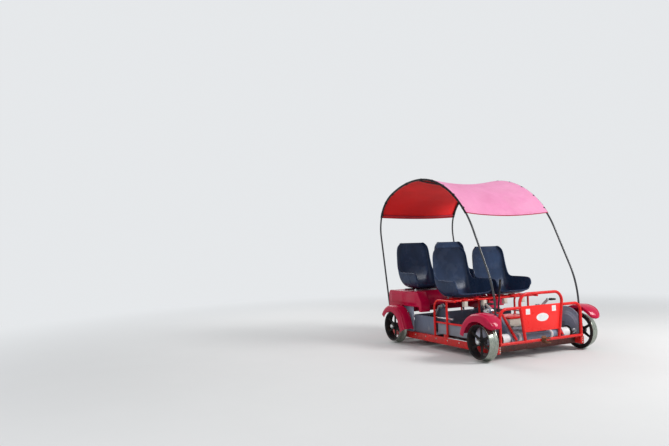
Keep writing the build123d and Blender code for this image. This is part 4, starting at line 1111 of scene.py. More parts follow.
def seat_shell(x_middle, nose, base):
    """Moulded bucket: a U section that follows the pan and the back, with a rolled rim."""
    sizes = bpy.context.scene.rail_seats
    middles = flow([(y, z, 0) for (y, z), _, _ in SEAT_STATIONS], 3)
    rims = flow([(y, z, half) for _, (y, z), half in SEAT_STATIONS], 3)
    rows = []
    for middle, rim in zip(middles, rims):
        wall = Vector((rim.x - middle.x, rim.y - middle.y)).normalized()
        half = rim.z
        outline = []
        for step in range(1, 15):
            share = step / 14
            climb = share**3.4
            y = middle.x + (rim.x - middle.x) * climb
            z = middle.y + (rim.y - middle.y) * climb
            outline.append((half * (1 - (1 - share) ** 2.3), y, z))
        for out, up in (*SEAT_RIM, (0.0163, -0.45 * sizes.lip), (0.0165, -sizes.lip)):
            outline.append((half + out, rim.x + wall.x * up, rim.y + wall.y * up))
        row = [car(x_middle - x, nose + y, base + z) for x, y, z in reversed(outline)]
        row.append(car(x_middle, nose + middle.x, base + middle.y))
        row.extend(car(x_middle + x, nose + y, base + z) for x, y, z in outline)
        rows.append(row)
    mesh = grid("shell", rows)
    # The wall goes on the underside, whichever way the sheet's faces look
    looks_down = sum(polygon.normal.z * polygon.area for polygon in mesh.polygons) < 0
    return walled("shell", mesh, sizes.wall, 1.0 if looks_down else -1.0, rounds=1)


class RAILCAR_OT_seats(Operator):
    """Four bucket shells, their fixing bolts and the brackets under them"""

    bl_idname = "railcar.seats"
    bl_label = "Seats"

    def execute(self, context):
        spots = []
        for row_name, nose, base in SEATS:
            for side_name, side in SIDES:
                seat = f"{row_name}_seat_{side_name}"
                x = side * SEAT_X
                piece(f"{seat}_shell", seat_shell(x, nose, base), "seat_shell", crease=50.0, node=seat)
                for across in (-0.09, 0.09):
                    for back in (0.150, 0.270):
                        spots.append(((x + across, nose + back, base + 0.0085), UP, ACROSS))
        studded("seat_bolts", spots, rivet_shape(0.009, 0.003))
        places = [side * x for side in WAYS for x in (0.16, 0.44)]
        under = [pad(x, 0.624, 0.024, 0.024, 0.488, 0.5515, 0.004) for x in places]
        piece("seat_adjusters", joined("adjusters", under), "cream_enamel")
        return {"FINISHED"}


# Fenders and cowl
# Columns: name, axle, inner edge, centre from the axle, radius, start, end, and of the arc that goes on
# from there its radius, turn and the share of the width left at the tip
FENDERS = (
    ("front", 0.0, 0.6303, (-0.020, 0.0), 0.296, 12, 112, 0.180, 52, 0.3),
    ("rear", WHEELBASE, 0.6603, (-0.020, 0.006), 0.262, 34, 162, -0.420, 14, 1.0),
)
FENDER_OUTER = 0.825
FENDER_TIP_PLACE = 0.45


def fender_stations(axle_y, centre, radius, start, end, next_radius, turn, tip):
    """Origin, outward direction and share of the width at each step over the wheel."""
    arcs = [(centre, radius, radians(start + (end - start) * step / 32), 1, 1.0) for step in range(33)]
    reach = radius - next_radius
    middle = (centre[0] + reach * cos(radians(end)), centre[1] + reach * sin(radians(end)))
    way = 1 if next_radius > 0 else -1
    first = end if next_radius > 0 else end - 180
    for step in range(1, 25):
        share = tip + (1 - tip) * (max(0.0, 1 - (step / 24) ** 2)) ** 0.5
        arcs.append((middle, abs(next_radius), radians(first + way * turn * step / 24), way, share))
    stations = []
    for (y, z), reach, angle, way, share in arcs:
        a, b = cos(angle), sin(angle)
        stations.append((axle_y + y + reach * a, TREAD_RADIUS + z + reach * b, way * a, way * b, share))
    return stations


def fender_section(wide, share):
    """Outline of the band at a share of its width: over the skin and back along the lining."""
    edge = wide * share
    flange = -0.010 - 0.026 * share
    skirt = -0.032 - 0.042 * share
    skin = flow([(x, y, 0) for x, y in (
        (0, flange), (0, -0.009), (0.004, -0.003), (0.016 * share, 0.001), (edge * 0.36, 0.0088),
        (edge * 0.64, 0.0084), (edge - 0.034 * share, 0.001), (edge - 0.029 * share, 0.0035),
        (edge - 0.020 * share, 0.001), (edge - 0.007 * share, -0.012), (edge - 0.001, -0.030),
        (edge - 0.0005, 0.4 * skirt - 0.022), (edge - 0.001, skirt),
    )], 4)
    lining = []
    for place, spot in enumerate(skin):
        run = skin[min(place + 1, len(skin) - 1)] - skin[max(place - 1, 0)]
        inward = Vector((run.y, -run.x, 0)).normalized()
        lining.append(spot + inward * bpy.context.scene.rail_body.wall)
    return skin, lining


def on_fender(station, side, start, point, inward=0.0, sunk=0.0):
    """A section's point at a station, moved in towards the car or down into the band."""
    y, z, out_y, out_z = station[:4]
    reach = point.y - sunk
    return (side * (start + point.x - inward), y + out_y * reach, z + out_z * reach)


class RAILCAR_OT_fenders(Operator):
    """Crowned fenders with a beaded skirt, a raised crown line and fixing bolts"""

    bl_idname = "railcar.fenders"
    bl_label = "Fenders"

    def execute(self, context):
        bead = context.scene.rail_body.bead
        spots = []
        for axle_name, axle_y, inner, *curve in FENDERS:
            stations = fender_stations(axle_y, *curve)
            wide = FENDER_OUTER - inner
            for side_name, side in SIDES:
                rows, edge, tips = [], [], []
                for station in stations:
                    skin, lining = fender_section(wide, station[4])
                    start = inner + wide * (1 - station[4]) * FENDER_TIP_PLACE
                    rows.append([car(*on_fender(station, side, start, a)) for a in (*skin, *reversed(lining))])
                    edge.append(on_fender(station, side, start, skin[-1], bead))
                    if station in (stations[0], stations[-1]):
                        tips.append([on_fender(station, side, start, a, 0.001, 0.002) for a in skin[4:]])
                beads = [(edge, bead), *((tip, bead * 0.8) for tip in tips)]
                parts = [lofted("fender", rows), tubes("bead", beads, "gel_coat", sides=10)]
                shell = joined("fender", parts)
                fender = f"{axle_name}_fender_{side_name}"
                piece(f"{fender}_shell", shell, "gel_coat", crease=50.0, node=fender)
                for step in (7, 16, 25):
                    y, z, out_y, out_z, _ = stations[step]
                    spot = (side * (inner + 0.0145), y + out_y * 0.0012, z + out_z * 0.0012)
                    spots.append((spot, (0, out_y, out_z), ACROSS))
        studded("fender_bolts", spots, bolt_shape(0.0055, 0.004))
        return {"FINISHED"}


# The cowl's flanks: ends along the car, lower and upper edge, and the plane that they stand on
FLANK_FRONT, FLANK_REAR = 1.262, 1.915
FLANK_LOW, FLANK_HIGH = 0.474, 0.622
FLANK_X = 0.6585
SCOOP_Y, CREASE_Y = 1.515, 1.605


class RAILCAR_OT_cowl(Operator):
    """Moulded cowl under the rear seats, with hollowed flanks and a crease"""

    bl_idname = "railcar.cowl"
    bl_label = "Cowl"

    def execute(self, context):
        bulge = context.scene.rail_body.bulge
        softened("rear_cowl", "gel_coat", 0.012, segments=4, crease=30.0)
        flanks, spots = [], []
        for side in WAYS:
            rows = []
            for step in range(45):
                t = step / 44
                y = FLANK_FRONT + (FLANK_REAR - FLANK_FRONT) * t
                row = []
                for up in range(19):
                    s = up / 18
                    edge = min(1.0, 9 * t, 9 * (1 - t)) * min(1.0, 6 * s, 6 * (1 - s))
                    edge = edge * edge * (3 - 2 * edge)
                    scoop = hump(y, SCOOP_Y, 0.075) * (0.4 + 0.6 * s)
                    crease = FALL ** (-abs(y - CREASE_Y) / 0.022)
                    depth = bulge * edge * (0.62 + 0.38 * sin(pi * s) - 0.8 * scoop + 0.35 * crease)
                    z = FLANK_LOW + (FLANK_HIGH - FLANK_LOW) * s
                    row.append(car(side * (FLANK_X + max(depth, 0.0)), y, z))
                rows.append(row)
            flanks.append(walled("flank", grid("flank", rows), 0.003))
            spots += [((side * 0.642, 1.46 + 0.07 * step, 0.6372), UP, ACROSS) for step in range(7)]
        piece("cowl_flanks", joined("flanks", flanks), "gel_coat", crease=70.0)
        studded("cowl_rivets", spots, rivet_shape(0.006, 0.0022))
        softened("rear_seat_rails", "bright_steel", 0.002)
        softened("rear_side_panels", "pale_sheet", 0.001)
        return {"FINISHED"}


# Frame
GUARD_TUBE = 0.0165
GUARD_LOW, GUARD_HALF, GUARD_LEAN, GUARD_RISE = 0.157, 0.245, 0.080, 0.510
WING_X, WING_TOP = 0.590, 0.522
BRACKET_X, BRACKET_Y = 0.606, -0.1138
REAR_GUARD_Y, REAR_GUARD_HALF = 1.957, 0.560
SEAT_FRAME_Z, SEAT_FRAME_FRONT, SEAT_FRAME_POST = 0.562, 0.560, 0.725
# Hoops of the seat frame: x, foot, rear end and bend
SEAT_HOOPS = ((-SILL_X, 0.1353, 0.965, 0.095), (0.0, 0.1696, 0.904, 0.060), (SILL_X, 0.1353, 0.965, 0.095))
SEAT_BARS = (0.625, 0.825)
HOOP_TUBE, BAR_TUBE = 0.013, 0.012
STRUT_X = 0.3397
STRUT_LINE = ((-0.093, 0.178), (0.124, 0.440), (0.262, 0.440))


def guard_half(height):
    """Half width of the front hoop at a height."""
    return GUARD_HALF + GUARD_LEAN * (height - GUARD_LOW) / GUARD_RISE


def bar(half, y, z):
    """Straight route across the car."""
    return [(-half, y, z), (half, y, z)]


def arch(half, y, low, high, bend, steps, lean=0.0):
    """Route of a hoop across the car, wider at the top where it leans."""
    top = half + lean
    return rounded_route(((-half, y, low), (-top, y, high), (top, y, high), (half, y, low)), bend, steps)


class RAILCAR_OT_frame(Operator):
    """Guards, seat hoops, struts and sills, with weld beads and bolts"""

    bl_idname = "railcar.frame"
    bl_label = "Frame"

    def execute(self, context):
        y = GUARD_Y
        hoop = arch(GUARD_HALF, y, GUARD_LOW, GUARD_LOW + GUARD_RISE, 0.105, 14, GUARD_LEAN)
        routes = [(bar(0.604, y, GUARD_LOW), GUARD_TUBE), (hoop, GUARD_TUBE)]
        beads, parts = [], []
        for side in WAYS:
            x = side * WING_X
            wing = ((x, y, GUARD_LOW), (x, y, WING_TOP), (side * guard_half(WING_TOP), y, WING_TOP))
            routes.append((rounded_route(wing, 0.090, 12), GUARD_TUBE))
            beads.append(((x, y, 0.1745), UP, ACROSS))
            beads.append(((side * 0.2478, y, 0.1745), (side * 0.155, 0, 1), ACROSS))
            beads.append(((side * (guard_half(WING_TOP) + 0.0172), y, WING_TOP), (side, 0, 0), UP))
            parts.append(pad(side * BRACKET_X, BRACKET_Y, 0.020, 0.005, 0.060, 0.150))
        parts.append(tubes("guard", routes, "red_enamel"))
        parts.append(studs("guard_beads", beads, weld_ring(0.0168, 0.0028), "red_enamel"))
        piece("front_guard_bent", joined("guard", parts), "red_enamel", node="front_guard_frame")

        rear = (
            (arch(REAR_GUARD_HALF, REAR_GUARD_Y, 0.132, 0.590, 0.090, 12), HOOP_TUBE),
            (bar(REAR_GUARD_HALF, REAR_GUARD_Y, 0.250), BAR_TUBE),
        )
        piece("rear_guard_bent", tubes("rear_guard", rear, "red_enamel"), node="rear_guard_frame")

        routes = []
        for x, foot, post, bend in SEAT_HOOPS:
            hoop = ((x, post, foot), (x, post, SEAT_FRAME_Z), (x, SEAT_FRAME_FRONT, SEAT_FRAME_Z))
            routes.append((rounded_route(hoop, bend, 12), HOOP_TUBE))
            routes.append(([(x, SEAT_FRAME_POST, foot), (x, SEAT_FRAME_POST, SEAT_FRAME_Z)], HOOP_TUBE))
        routes += [(bar(SILL_X, back, SEAT_FRAME_Z), BAR_TUBE) for back in SEAT_BARS]
        parts = [tubes("seat_frame", routes, "red_enamel")]
        for back in SEAT_BARS:
            parts += [pad(x, back, 0.030, 0.030, 0.571, 0.583) for x in (-0.455, -0.275, 0.275, 0.455)]
        for side in WAYS:
            x = side * (SILL_X - 0.0165)
            parts.append(block((x - 0.014, 0.420, 0.2903), (x + 0.014, 0.965, 0.3083)))
            for back in (SEAT_FRAME_POST, 0.965):
                parts.append(pad(side * SILL_X, back, 0.024, 0.028, 0.1353, 0.1403))
        piece("seat_frame_bent", joined("seat_frame", parts), "red_enamel", node="front_seat_frame")

        routes = []
        for side in WAYS:
            strut = [(side * STRUT_X, back, up) for back, up in STRUT_LINE]
            routes.append((rounded_route(strut, 0.060, 8), 0.015))
        piece("struts_bent", tubes("struts", routes, "red_enamel"), node="pedal_struts")
        routes = [([(side * 0.6077, back, 0.352) for back in (0.640, 1.000)], 0.009) for side in WAYS]
        piece("side_bars_round", tubes("side_bars", routes, "bright_steel"), node="seat_side_bars")

        softened("underframe", "sill_enamel", 0.003)
        spots = []
        for side in WAYS:
            x = side * BRACKET_X + 0.010
            spots += [((x, BRACKET_Y - 0.005, up), AHEAD, UP) for up in (0.075, 0.100, 0.125)]
            spots += [((side * 0.650, 0.06 + 0.215 * step, 0.108), (side, 0, 0), UP) for step in range(9)]
        studded("frame_bolts", spots, bolt_shape(0.006, 0.006))
        return {"FINISHED"}


def weld_ring(radius, thick):
    """Lumpy weld bead round a tube that stands along Z."""
    rows = []
    for step, (a, b) in enumerate(circle(24)):
        lump = thick * (1.0 + 0.25 * sin(step * 2.6))
        row = []
        for out, up in circle(6):
            reach = radius + lump * out
            row.append(Vector((reach * a, reach * b, lump * up)))
        rows.append(row)
    rows.append(rows[0])
    return outward(grid("weld", rows, ring=True), 1e-7)


class RAILCAR_OT_sign(Operator):
    """Bare sign panel with blank stickers and rivets"""

    bl_idname = "railcar.sign"
    bl_label = "Sign panel"

    def execute(self, context):
        softened("sign_panel", "sign_enamel", 0.0008)
        outlines = []
        for x, z in ((-0.196, 0.474), (0.185, 0.487)):
            corners = ((-1, -1), (1, -1), (1, 1), (-1, 1))
            outlines.append([(x + 0.030 * across, z + 0.030 * up) for across, up in corners])
        outlines.append([(0.012 + 0.088 * a, 0.402 + 0.044 * b) for a, b in circle(40)])
        films = [sticker(outline, GUARD_Y - 0.0019) for outline in outlines]
        piece("sign_stickers", joined("stickers", films), "white_vinyl")
        spots = []
        for height in (0.272, 0.521):
            half = guard_half(height) - 0.030
            spots += [((half * share, GUARD_Y - 0.0015, height), AHEAD, ACROSS) for share in shares(5)]
        studded("sign_rivets", spots, rivet_shape(0.0045, 0.002), "sign_enamel")
        return {"FINISHED"}


def sticker(outline, face):
    """Thin film on the sign panel, from an outline of (x, z)."""
    count = len(outline)
    points = [car(x, face, z) for x, z in outline] + [car(x, face + 0.0006, z) for x, z in outline]
    faces = [tuple(range(count)), tuple(reversed(range(count, 2 * count)))]
    faces += [(k, (k + 1) % count, count + (k + 1) % count, count + k) for k in range(count)]
    return outward(mesh_from("sticker", points, faces))


# Wheels and axles
# Profiles of turned parts: x from the car's middle, radius and, on the rim, how worn the point is
RIM = (
    (0.6860, 0.1640, 0), (0.6860, 0.2020, 0.1), (0.6880, 0.2072, 0.8), (0.6920, 0.2098, 1),
    (0.6980, 0.2098, 1), (0.7050, 0.2060, 1), (0.7110, 0.1960, 1), (0.7145, 0.1905, 1),
    (0.7200, 0.1882, 1), (0.7500, 0.1868, 1), (0.7800, 0.1854, 1), (0.7845, 0.1840, 0.9),
    (0.7868, 0.1810, 0.25), (0.7870, 0.1740, 0), (0.7850, 0.1700, 0), (0.7790, 0.1660, 0),
    (0.7600, 0.1625, 0), (0.7130, 0.1625, 0), (0.6940, 0.1630, 0),
)
HUB = (
    (0.6905, 0.0180), (0.6905, 0.0360), (0.6950, 0.0400), (0.7200, 0.0420), (0.7240, 0.0450),
    (0.7490, 0.0450), (0.7530, 0.0420), (0.7780, 0.0400), (0.7825, 0.0360), (0.7825, 0.0180),
)
SHAFT = ((-0.794, 0.0), (-0.794, 0.0150), (-0.791, 0.0175), (0.791, 0.0175), (0.794, 0.0150), (0.794, 0.0))
CAP = (
    (0.7828, 0.0), (0.7828, 0.0245), (0.7870, 0.0250), (0.7900, 0.0235), (0.7990, 0.0220), (0.8030, 0.0185),
    (0.8052, 0.0120), (0.8060, 0.0),
)
DISC = ((0.500, 0.0178), (0.500, 0.072), (0.502, 0.074), (0.507, 0.074), (0.509, 0.072), (0.509, 0.0178))
AXLE_TUBE = ((-0.3547, 0.033), (-0.3547, 0.038), (0.3547, 0.038), (0.3547, 0.033))
DRUM = (
    (0.3853, 0.0178), (0.3853, 0.0530), (0.3870, 0.0556), (0.3920, 0.0560), (0.3940, 0.0545),
    (0.4240, 0.0545), (0.4260, 0.0560), (0.4300, 0.0560), (0.4320, 0.0545), (0.4860, 0.0545),
    (0.4900, 0.0560), (0.4935, 0.0556), (0.4953, 0.0530), (0.4953, 0.0178),
)
COLLAR = (
    (0.2155, 0.0382), (0.2155, 0.0450), (0.2180, 0.0470), (0.2465, 0.0470), (0.2490, 0.0450),
    (0.2490, 0.0382),
)
# A spoke's stations: distance from the axle, half width and half depth
SPOKE = (
    (0.036, 0.026, 0.012), (0.046, 0.0205, 0.0105), (0.060, 0.0175, 0.0090), (0.090, 0.0155, 0.0080),
    (0.125, 0.0140, 0.0075), (0.146, 0.0150, 0.0085), (0.158, 0.0200, 0.0120), (0.166, 0.0280, 0.0160),
)
SPOKE_X = 0.7365


class RAILCAR_OT_wheels(Operator):
    """Spoked flanged wheels with a worn tread, on their axles"""

    bl_idname = "railcar.wheels"
    bl_label = "Wheels"

    def execute(self, context):
        for axle_name, axle_y in AXLES:
            body = f"{axle_name}_wheelset"
            place = (axle_y, TREAD_RADIUS)
            for side_name, side in SIDES:
                parts = [
                    turned(RIM, *place, 96, side), turned(HUB, *place, 48, side),
                    spoke_set(axle_y, side, context.scene.rail_gear.spokes),
                ]
                wheel = f"{axle_name}_wheel_{side_name}"
                piece(f"{wheel}_cast", joined("wheel", parts), "wheel_iron", body, node=wheel)
                spots = ring_spots(side * 0.7812, *place, 0.0295, 6, 0, side)
                studded(f"{axle_name}_{side_name}_hub_bolts", spots, bolt_shape(0.0042, 0.0045), body=body)
            parts = [turned(SHAFT, *place, 40, closed=False)]
            parts += [turned(CAP, *place, 40, side, closed=False) for side in WAYS]
            shaft = joined("axle", parts)
            piece(f"{axle_name}_axle_turned", shaft, "bright_steel", body, node=f"{axle_name}_axle")
            discs = [turned(DISC, *place, 56, side) for side in WAYS]
            piece(f"{axle_name}_brake_discs", joined("discs", discs), "rubber", body)
        return {"FINISHED"}


def squared(value):
    """A circle's coordinate pushed out towards a rounded square."""
    return abs(value) ** 0.65 * (1 if value >= 0 else -1)


def spoke_set(axle_y, side, count):
    """The spokes of one wheel, from one lofted spoke."""
    root = SPOKE[0][0]
    rows = []
    for reach, wide, deep in SPOKE:
        rows.append([Vector((reach - root, wide * squared(b), deep * squared(a))) for a, b in circle(16)])
    hub = tuple(car(side * SPOKE_X, axle_y, TREAD_RADIUS))
    values = {"Count": count, "Root": root, "Hub": hub, "Finish": finish("wheel_iron")}
    return grown("spokes", lofted("spoke", rows), "spokes", **values)


class RAILCAR_OT_housings(Operator):
    """Axle tubes with their collars and drums, and the domed wheel guards"""

    bl_idname = "railcar.housings"
    bl_label = "Axle housings"

    def execute(self, context):
        for axle_name, axle_y in AXLES:
            place = (axle_y, TREAD_RADIUS)
            tube = turned(AXLE_TUBE, *place, 56)
            piece(f"{axle_name}_housing_tube", tube, "axle_enamel", node=f"{axle_name}_axle_tube")
            parts, spots = [], []
            for side in WAYS:
                x = side * 0.232
                parts += [turned(DRUM, *place, 64, side), turned(COLLAR, *place, 56, side)]
                parts.append(pad(x, axle_y, 0.0165, 0.032, 0.132, 0.152))
                spots += [((x, axle_y + shift, 0.152), UP, ACROSS) for shift in (-0.024, 0.024)]
                spots += ring_spots(side * 0.4953, *place, 0.040, 6, 30, side)
            drums = joined("drums", parts)
            piece(f"{axle_name}_housing_drums", drums, "white_enamel", node=f"{axle_name}_axle_drums")
            studded(f"{axle_name}_housing_bolts", spots, bolt_shape(0.0048, 0.004))
        domes = joined("domes", [dome(side) for side in WAYS])
        piece("wheel_guards_domed", domes, "dome_sheet", crease=45.0, node="front_wheel_guards")
        return {"FINISHED"}


DOME_Y, DOME_Z, DOME_X = 0.115, 0.233, 0.6285
DOME_RADII = (
    0.0, 0.02, 0.04, 0.06, 0.08, 0.10, 0.115, 0.125, 0.132, 0.138, 0.145, 0.152, 0.160, 0.168, 0.173,
    0.178, 0.186, 0.196, 0.206, 0.214, 0.220, 0.225, 0.2295, 0.230,
)
DOME_HOLE = 0.0225


def dome(side):
    """Pressed wheel guard: a dish with two ridges, cut off straight at the sill and open at the axle."""
    rows = []
    for radius in DOME_RADII:
        dish = 0.0125 * max(0.0, 1 - (radius / 0.174) ** 2) ** 0.6
        ridge = 0.0035 * hump(radius, 0.134, 0.006)
        x = DOME_X - min(dish + ridge, 0.0135) - 0.003 * hump(radius, 0.220, 0.006)
        outline = [(DOME_Y + radius * a, DOME_Z + radius * b) for a, b in circle(96)]
        rows.append([car(side * x, y, max(z, SILL_TOP + 0.0003)) for y, z in outline])
    form = bmesh.new()
    form.from_mesh(grid("dome", rows, ring=True))
    bmesh.ops.remove_doubles(form, verts=form.verts, dist=1e-6)
    axle = car(0, 0, TREAD_RADIUS)
    gone = [v for v in form.verts if hypot(v.co.y - axle.y, v.co.z - axle.z) < DOME_HOLE]
    bmesh.ops.delete(form, geom=gone, context="VERTS")
    flat = [f for f in form.faces if f.calc_area() < 1e-10]
    bmesh.ops.delete(form, geom=flat, context="FACES")
    return walled("dome", baked(form, "dome"), 0.002)


# Footwells, consoles and drive
BAR_PITCH = 0.0285


def floor_bars(first_x, across_count, first_y, back_count, z, covered):
    """Spots of a floor's bars, leaning by turns; covered boxes are middle, half width and both ends."""
    spots = []
    for across in range(across_count):
        for back in range(back_count):
            x = first_x + BAR_PITCH * across
            y = first_y + BAR_PITCH * back
            if not any(abs(abs(x) - box[0]) < box[1] and box[2] < y < box[3] for box in covered):
                spots.append(((x, y, z), UP, (1, 1 if (across + back) % 2 else -1, 0)))
    return spots


class RAILCAR_OT_footwells(Operator):
    """Foot tubs with tread bars, step plates and their chequer pattern"""

    bl_idname = "railcar.footwells"
    bl_label = "Footwells"

    def execute(self, context):
        softened("front_foot_tub", "tub_sheet", 0.0015)
        softened("rear_foot_tub", "grey_sheet", 0.0015)
        softened("step_plates", "chequer", 0.0012)
        spots = []
        for side in WAYS:
            for row in range(24):
                y = 0.368 + 0.0142 * row
                lean = 1 if row % 2 else -1
                spots.append(((side * 0.6335, y, 0.1403), UP, (1, lean, 0)))
                spots.append(((side * 0.6430, y + 0.007, 0.1403), UP, (1, -lean, 0)))
        studded("step_bars", spots, lozenge_shape(0.011, 0.0035, 0.0012), "chequer")
        consoles = ((0.370, 0.030, 0.0, 0.515), (0.0, 0.075, 0.380, 0.640))
        spots = floor_bars(-0.584, 42, 0.150, 27, 0.1693, consoles)
        spots += floor_bars(-0.556, 40, 1.035, 12, 0.1393, ((0.345, 0.030, 1.0, 2.0),))
        studded("floor_bars", spots, lozenge_shape(0.022, 0.007, 0.0015), "tub_sheet")
        return {"FINISHED"}


# The brake lever's top, the way that its upper run leans, and its grip
LEVER_TOP = Vector((0, 0.505, 0.790))
LEVER_LEAN = Vector((0, -0.070, 0.460)).normalized()
GRIP_LENGTH = 0.115
# The round heads of a console: x out from its face, and radius
CONSOLE_HEAD = (
    (0.0, 0.0108), (0.0, 0.0270), (0.0015, 0.0285), (0.0040, 0.0285), (0.0050, 0.0270), (0.0050, 0.0108),
)


class RAILCAR_OT_drive(Operator):
    """Pedal consoles, drive case and lid, cranks, pedals and the brake lever"""

    bl_idname = "railcar.drive"
    bl_label = "Drive"

    def execute(self, context):
        for node, paint, width in (
            ("front_pedal_consoles", "grey_sheet", 0.004), ("rear_pedal_consoles", "grey_sheet", 0.004),
            ("front_drive_unit", "cream_enamel", 0.004), ("drive_unit_lid", "red_enamel", 0.005),
            ("front_coupler", "rust", 0.0025), ("rear_coupler", "rust", 0.0025),
        ):
            softened(node, paint, width, segments=3)
        spots, heads = [], []
        for _, x, y, z in CONSOLES:
            for side in WAYS:
                for face in WAYS[::-1]:
                    plane = side * x + face * 0.0150
                    profile = [(plane + face * out, radius) for out, radius in CONSOLE_HEAD]
                    heads.append(turned(profile, y, z, 40))
                    spots += ring_spots(plane + face * 0.0050, y, z, 0.0205, 4, 45, face)
        for x in (-0.128, 0.128):
            spots += [((x, back, 0.3763), UP, ACROSS) for back in (0.238, 0.371, 0.504)]
        piece("console_heads", joined("heads", heads), "bright_steel")
        studded("drive_bolts", spots, bolt_shape(0.0036, 0.0032))

        lever = rounded_route(((0, 0.575, 0.1696), (0, 0.575, 0.330), LEVER_TOP), 0.060, 6)
        foot = pad(0, 0.575, 0.030, 0.045, 0.1696, 0.1776)
        parts = [tubes("lever", [(lever, 0.010)], "bow_enamel"), foot]
        piece("brake_lever_bent", joined("lever", parts), "bow_enamel", node="brake_lever")
        rows = []
        way = Vector(ACROSS)
        over = LEVER_LEAN.cross(way)
        for step in range(29):
            t = step / 28
            radius = 0.0135 + (0.0016 if step % 2 else 0.0) - 0.004 * max(0.0, (t - 0.9) / 0.1) ** 2
            middle = LEVER_TOP - LEVER_LEAN * (GRIP_LENGTH * (1 - t))
            rows.append([car(*(middle + way * (radius * a) + over * (radius * b))) for a, b in circle(20)])
        piece("brake_grip", lofted("grip", rows), "rubber")

        for row_name, x, y, z in CONSOLES:
            for side_name, side in SIDES:
                seat = f"{row_name}_{side_name}"
                softened(f"{seat}_crank", "bright_steel", 0.0025, f"{seat}_cranks")
                pedal_set(seat, side * x, y, z, CRANK_ANGLES[seat])
        return {"FINISHED"}


# A pedal: its body from the crank's middle, and how far its side rails stand from the spindle
PEDAL_GAP, PEDAL_LENGTH, PEDAL_RAIL = 0.0680, 0.0920, 0.0235


def pedal_set(seat, x, crank_y, crank_z, angle):
    """Two pedals: a body with a hollow, tread bars across it and toothed edges."""
    bodies, spots = [], []
    for end, turn in ((1, angle), (-1, angle + 180)):
        y = crank_y + CRANK_RADIUS * cos(radians(turn))
        z = crank_z + CRANK_RADIUS * sin(radians(turn))
        inner = x + end * PEDAL_GAP
        low_x, high_x = sorted((inner, inner + end * PEDAL_LENGTH))
        for shift in (-PEDAL_RAIL, PEDAL_RAIL):
            low = (low_x, y + shift - 0.0075, z - 0.0095)
            bodies.append(block(low, (high_x, y + shift + 0.0075, z + 0.0095), 0.003))
        for plate in (0.0, 0.042, 0.084):
            a, b = sorted((inner + end * plate, inner + end * (plate + 0.008)))
            bodies.append(block((a, y - 0.031, z - 0.0080), (b, y + 0.031, z + 0.0080)))
        sleeve = ((low_x, 0.0062), (low_x, 0.0105), (high_x, 0.0105), (high_x, 0.0062))
        bodies.append(turned(sleeve, y, z, 20))
        for face in WAYS[::-1]:
            for shift in (-PEDAL_RAIL, PEDAL_RAIL):
                for step in range(7):
                    spot = (inner + end * (0.010 + 0.012 * step), y + shift, z + face * 0.0095)
                    spots.append((spot, (0, 0, face), BACK))
    bodies.append(studs("tread", spots, lozenge_shape(0.014, 0.006, 0.0018), "rubber"))
    pedals = joined("pedals", bodies)
    piece(f"{seat}_pedals_ribbed", pedals, "rubber", f"{seat}_cranks", node=f"{seat}_pedals")


# Stage
CAMERA_PLACE = (-5.083, -5.204, 1.235)
CAMERA_YAW, CAMERA_PITCH, CAMERA_ROLL = radians(27.007), radians(2.144), radians(1.666)
# Name, place, power and size of each lamp, and the point that they look at
LAMPS = (
    ("key", (3.6, -5.6, 5.4), 535.0, 2.6),
    ("fill", (-5.4, -3.2, 3.2), 60.0, 4.5),
    ("back", (-1.0, 5.5, 5.0), 190.0, 4.0),
)
LAMP_AIM = Vector((0, 0, 0.9))
FLOOR_HALF = 60.0
DAYLIGHT = (0.92, 0.95, 1.0)


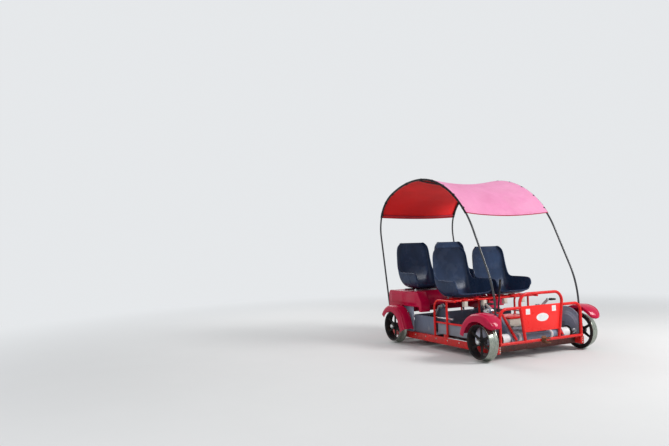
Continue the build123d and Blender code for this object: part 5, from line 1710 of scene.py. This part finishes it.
class RAILCAR_OT_stage(Operator):
    """Camera, soft lamps and a pale floor"""

    bl_idname = "railcar.stage"
    bl_label = "Stage"

    def execute(self, context):
        scene = context.scene
        sizes = scene.rail_stage
        right = Vector((cos(CAMERA_YAW), -sin(CAMERA_YAW), 0))
        level = cos(CAMERA_PITCH)
        ahead = Vector((sin(CAMERA_YAW) * level, cos(CAMERA_YAW) * level, sin(CAMERA_PITCH)))
        down = ahead.cross(right)
        rolled_right = right * cos(CAMERA_ROLL) + down * sin(CAMERA_ROLL)
        rolled_down = down * cos(CAMERA_ROLL) - right * sin(CAMERA_ROLL)
        camera = loose("camera", bpy.data.cameras.new("camera"))
        camera.data.lens = sizes.lens
        camera.data.sensor_width = 36.0
        camera.data.clip_end = 200.0
        turn = Matrix((rolled_right, -rolled_down, -ahead)).transposed().to_4x4()
        camera.matrix_world = Matrix.Translation(car(*CAMERA_PLACE)) @ turn
        scene.camera = camera

        corners = [(x * FLOOR_HALF, y * FLOOR_HALF, 0) for x, y in ((-1, -1), (1, -1), (1, 1), (-1, 1))]
        floor = loose("floor", mesh_from("floor", corners, [(0, 1, 2, 3)]))
        floor.data.materials.append(floor_paint("floor_paint", sizes.floor, sizes.backdrop, sizes.pale))
        for name, place, power, size in LAMPS:
            lamp = loose(name, bpy.data.lights.new(name, "AREA"))
            lamp.data.energy = power
            lamp.data.size = size
            lamp.location = place
            lamp.rotation_mode = "QUATERNION"
            lamp.rotation_quaternion = (LAMP_AIM - Vector(place)).to_track_quat("-Z", "Y")
        world = bpy.data.worlds.new("daylight")
        scene.world = world
        world.use_nodes = True
        tree = world.node_tree
        tree.nodes.clear()
        mixed = {0: pale_rays(tree)}
        for slot, colour, strength in ((1, DAYLIGHT, sizes.daylight), (2, sizes.backdrop, sizes.pale)):
            light = {"Color": (*colour, 1.0), "Strength": strength}
            mixed[slot] = add_node(tree, "ShaderNodeBackground", light).outputs[0]
        both = add_node(tree, "ShaderNodeMixShader", mixed)
        add_node(tree, "ShaderNodeOutputWorld", {0: both.outputs[0]})
        scene.view_settings.view_transform = "Standard"
        return {"FINISHED"}


OPERATORS = (
    RAILCAR_OT_frame,
    RAILCAR_OT_sign,
    RAILCAR_OT_bows,
    RAILCAR_OT_canopy,
    RAILCAR_OT_seats,
    RAILCAR_OT_fenders,
    RAILCAR_OT_cowl,
    RAILCAR_OT_wheels,
    RAILCAR_OT_housings,
    RAILCAR_OT_footwells,
    RAILCAR_OT_drive,
    RAILCAR_OT_stage,
)


class RAILCAR_PT_panel(Panel):
    """Steps and sizes of the rail car"""

    bl_label = "Pedal rail car"
    bl_idname = "RAILCAR_PT_panel"
    bl_space_type = "VIEW_3D"
    bl_region_type = "UI"
    bl_category = "Rail Car"

    def draw(self, context):
        for operator in OPERATORS:
            self.layout.operator(operator.bl_idname)
        for name, group in GROUPS:
            box = self.layout.box()
            for label in group.__annotations__:
                box.prop(getattr(context.scene, name), label)


GROUPS = (
    ("rail_canopy", CanopySizes),
    ("rail_seats", SeatSizes),
    ("rail_body", BodySizes),
    ("rail_gear", GearSizes),
    ("rail_tubes", TubeSizes),
    ("rail_stage", StageSizes),
)


def register():
    for name, group in GROUPS:
        bpy.utils.register_class(group)
        setattr(bpy.types.Scene, name, PointerProperty(type=group))
    for operator in OPERATORS:
        bpy.utils.register_class(operator)
    bpy.utils.register_class(RAILCAR_PT_panel)


def unregister():
    bpy.utils.unregister_class(RAILCAR_PT_panel)
    for operator in reversed(OPERATORS):
        bpy.utils.unregister_class(operator)
    for name, group in reversed(GROUPS):
        delattr(bpy.types.Scene, name)
        bpy.utils.unregister_class(group)


def main():
    register()
    for operator in OPERATORS:
        family, step = operator.bl_idname.split(".")
        getattr(getattr(bpy.ops, family), step)()


if __name__ == "__main__":
    main()
